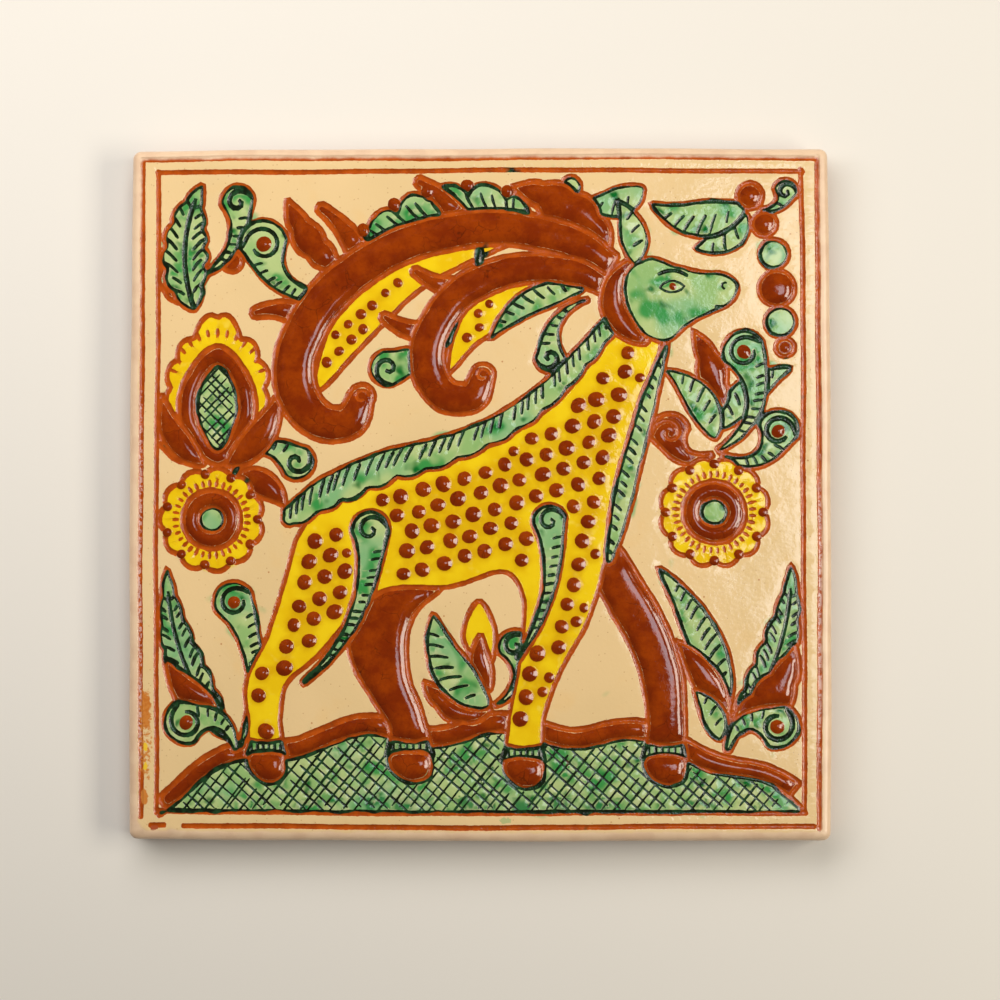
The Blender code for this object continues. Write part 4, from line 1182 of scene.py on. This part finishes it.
def glazed_face():
    """All the glazes, laid one over another by the marks on the mesh, with ragged borders."""
    f = Finish("glazed_face")
    scratch, brown, green = f.mark("scratch"), f.mark("brown"), f.mark("green")
    fine = f.noise(0.8, 2.0, shift=1.5)
    in_line = f.step(f.stir(scratch, fine, 0.24), 0.345, 0.405)
    fringe = f.step(scratch, 0.12, 0.34)
    colour = cream_slip(f)
    halo = f.step(f.stir(f.mark("green_wash"), f.noise(7.0, 1.0, shift=3.3), 1.9), 0.46, 0.80, 0.8)
    colour = f.blend(halo, colour, GREEN_HALO)
    halo = f.step(f.stir(f.mark("yellow_wash"), f.noise(8.0, 1.0, shift=8.3), 1.4), 0.50, 0.76, 0.85)
    colour = f.blend(halo, colour, YELLOW_HALO)
    in_yellow = f.step(f.stir(f.mark("yellow"), fine, 0.2), 0.45, 0.55)
    colour = f.blend(in_yellow, colour, yellow_glaze(f, fringe))
    in_green = f.step(f.stir(green, fine, 0.2), 0.45, 0.55)
    colour = f.blend(in_green, colour, green_glaze(f, fringe))
    edge = f.stir(f.stir(brown, fine, 0.3), f.noise(6.0, 1.0, shift=2.7), 0.8)
    colour = f.blend(f.step(edge, 0.28, 0.38), colour, brown_slip(f))
    black = f.blend(f.step(f.noise(2.6, 2.0, shift=2.2), 0.4, 0.66), BLACK, BLACK_GREEN)
    washed = f.step(f.stir(green, f.noise(8.0, 2.0, shift=4.4), 2.0), 0.38, 0.56)
    colour = wear(f, f.blend(in_line, colour, f.blend(washed, scratched_clay(f), black)))
    thin = f.step(f.stir(f.mark("rim"), f.noise(5.0, 4.0, 0.6, 1.1), 0.4), 0.10, 0.42)
    pale = f.blend(f.step(f.noise(6.0, 4.0, shift=3.8), 0.4, 0.64), RIM_PALE, RIM_WARM)
    # Painted shade: the edge turns darker and greyer lower down, and near the foot shows its own red clay.
    height = f.add("ShaderNodeSeparateXYZ", {0: f.place}, 2)
    height = f.stir(height, f.noise(9.0, 3.0, shift=2.8), 4.0 * MM)
    pale = f.blend(f.step(height, cad_high[2] - 3.4 * MM, 4.5 * MM), pale, SIDE_SHADE_GREY)
    pale = f.blend(f.step(height, 3.2 * MM, 2.2 * MM), pale, SIDE_CLAY)
    colour = f.blend(thin, colour, pale)
    f.tree.links.new(colour, f.shader.inputs["Base Color"])
    rough = f.stir(f.step(thin, 0.0, 1.0, 0.26), f.noise(4.0, 3.0, shift=5.0), 0.08)
    f.tree.links.new(f.sum(rough, 0.08), f.shader.inputs["Roughness"])
    f.shader.inputs["IOR"].default_value = 1.6
    torn = f.times(f.step(scratch, 0.1, 0.35, 2.2), f.noise(0.55, 2.0, shift=7.7))
    bump = f.add("ShaderNodeBump", {"Strength": 1.0, "Distance": 0.038 * MM,
                                    "Height": f.sum(f.noise(1.1, 3.0, 0.55, 9.9), torn)})
    f.tree.links.new(bump, f.shader.inputs["Normal"])
    return f.material


def bare_clay():
    """Fired red clay with grog, smears of slip and dust, dull and a little rough."""
    f = Finish("bare_clay")
    colour = f.blend(f.step(f.noise(24, 4.0), 0.36, 0.66), BACK_CLAY, BACK_PALE)
    colour = f.blend(f.step(f.noise(1.4, 3.0, 0.7, 2.0), 0.52, 0.78, 0.6), colour, GROG)
    colour = f.blend(f.spots(5.0, 0.35, 4.0), colour, SLIP_SMEAR)
    colour = f.blend(f.step(f.noise(16, 5.0, 0.62, 6.0), 0.60, 0.72, 0.6), colour, DUST)
    f.tree.links.new(colour, f.shader.inputs["Base Color"])
    f.shader.inputs["Roughness"].default_value = 0.85
    grain = f.sum(f.noise(0.7, 3.0, 0.7), f.times(f.noise(4.0, 3.0, 0.6, 3.0), 1.5))
    bump = f.add("ShaderNodeBump", {"Strength": 1.0, "Distance": 0.12 * MM, "Height": grain})
    f.tree.links.new(bump, f.shader.inputs["Normal"])
    return f.material


mesh.materials.append(glazed_face())
mesh.materials.append(bare_clay())


# The pale floor that the tile lies on, the camera straight above it, and three soft lights: a wide one past
# the top edge that the glaze doesn't mirror, a low window at the right that glints on the slip, and a dim sky
# that the right side mirrors.

FLOOR_COLOUR = (0.78, 0.74, 0.67, 1.0)
FLOOR_GAP = 0.2 * MM
LIGHTS_AIM = (0.0, 0.0, 0.01)

bpy.ops.mesh.primitive_plane_add(size=6.0, location=(0.0, 0.0, cad_low[2] - FLOOR_GAP))
floor = bpy.context.object
floor.name = "floor"
floor_paint = bpy.data.materials.new("floor_paint")
floor_paint.use_nodes = True
floor_paint.node_tree.nodes["Principled BSDF"].inputs["Base Color"].default_value = FLOOR_COLOUR
floor_paint.node_tree.nodes["Principled BSDF"].inputs["Roughness"].default_value = 0.6
floor.data.materials.append(floor_paint)


def add_panel(name, place, size, power, colour, mirrored=True):
    """A rectangular light at a place, turned to the tile. The glaze mirrors it or not."""
    lamp = bpy.data.lights.new(name, "AREA")
    lamp.shape = "RECTANGLE"
    lamp.size, lamp.size_y = size
    lamp.energy = power
    lamp.color = colour
    panel = bpy.data.objects.new(name, lamp)
    panel.location = place
    panel.rotation_euler = (Vector(LIGHTS_AIM) - Vector(place)).to_track_quat("-Z", "Y").to_euler()
    panel.visible_glossy = mirrored
    bpy.context.collection.objects.link(panel)


add_panel("top_light", (-0.18, 0.28, 0.38), (0.7, 0.3), 2.6, (1.0, 0.97, 0.95), False)
add_panel("window_light", (0.55, -0.03, 0.495), (0.5, 0.21), 3.09, (1.0, 0.93, 0.80))
add_panel("sky_light", (0.455, 0.12, 1.55), (0.56, 0.46), 3.6, (0.80, 0.88, 0.97))
world = bpy.data.worlds.new("studio")
world.use_nodes = True
world.node_tree.nodes["Background"].inputs["Color"].default_value = (1.0, 0.9, 0.74, 1.0)
world.node_tree.nodes["Background"].inputs["Strength"].default_value = 0.05
bpy.context.scene.world = world
bpy.context.scene.view_settings.view_transform = "Standard"

TARGET = Vector((5.9, -2.0, FACE_LEVEL)) * MM
DISTANCE = 0.622
TILT = math.radians(1.8)
YAW = math.radians(1.0)

lens = bpy.data.cameras.new("camera")
lens.lens = 78.87
lens.sensor_width = 36.0
lens.clip_start = 0.01
camera = bpy.data.objects.new("camera", lens)
camera.rotation_euler = Euler((TILT, YAW, 0.0))
camera.location = TARGET + camera.rotation_euler.to_matrix() @ Vector((0.0, 0.0, DISTANCE))
bpy.context.collection.objects.link(camera)
bpy.context.scene.camera = camera
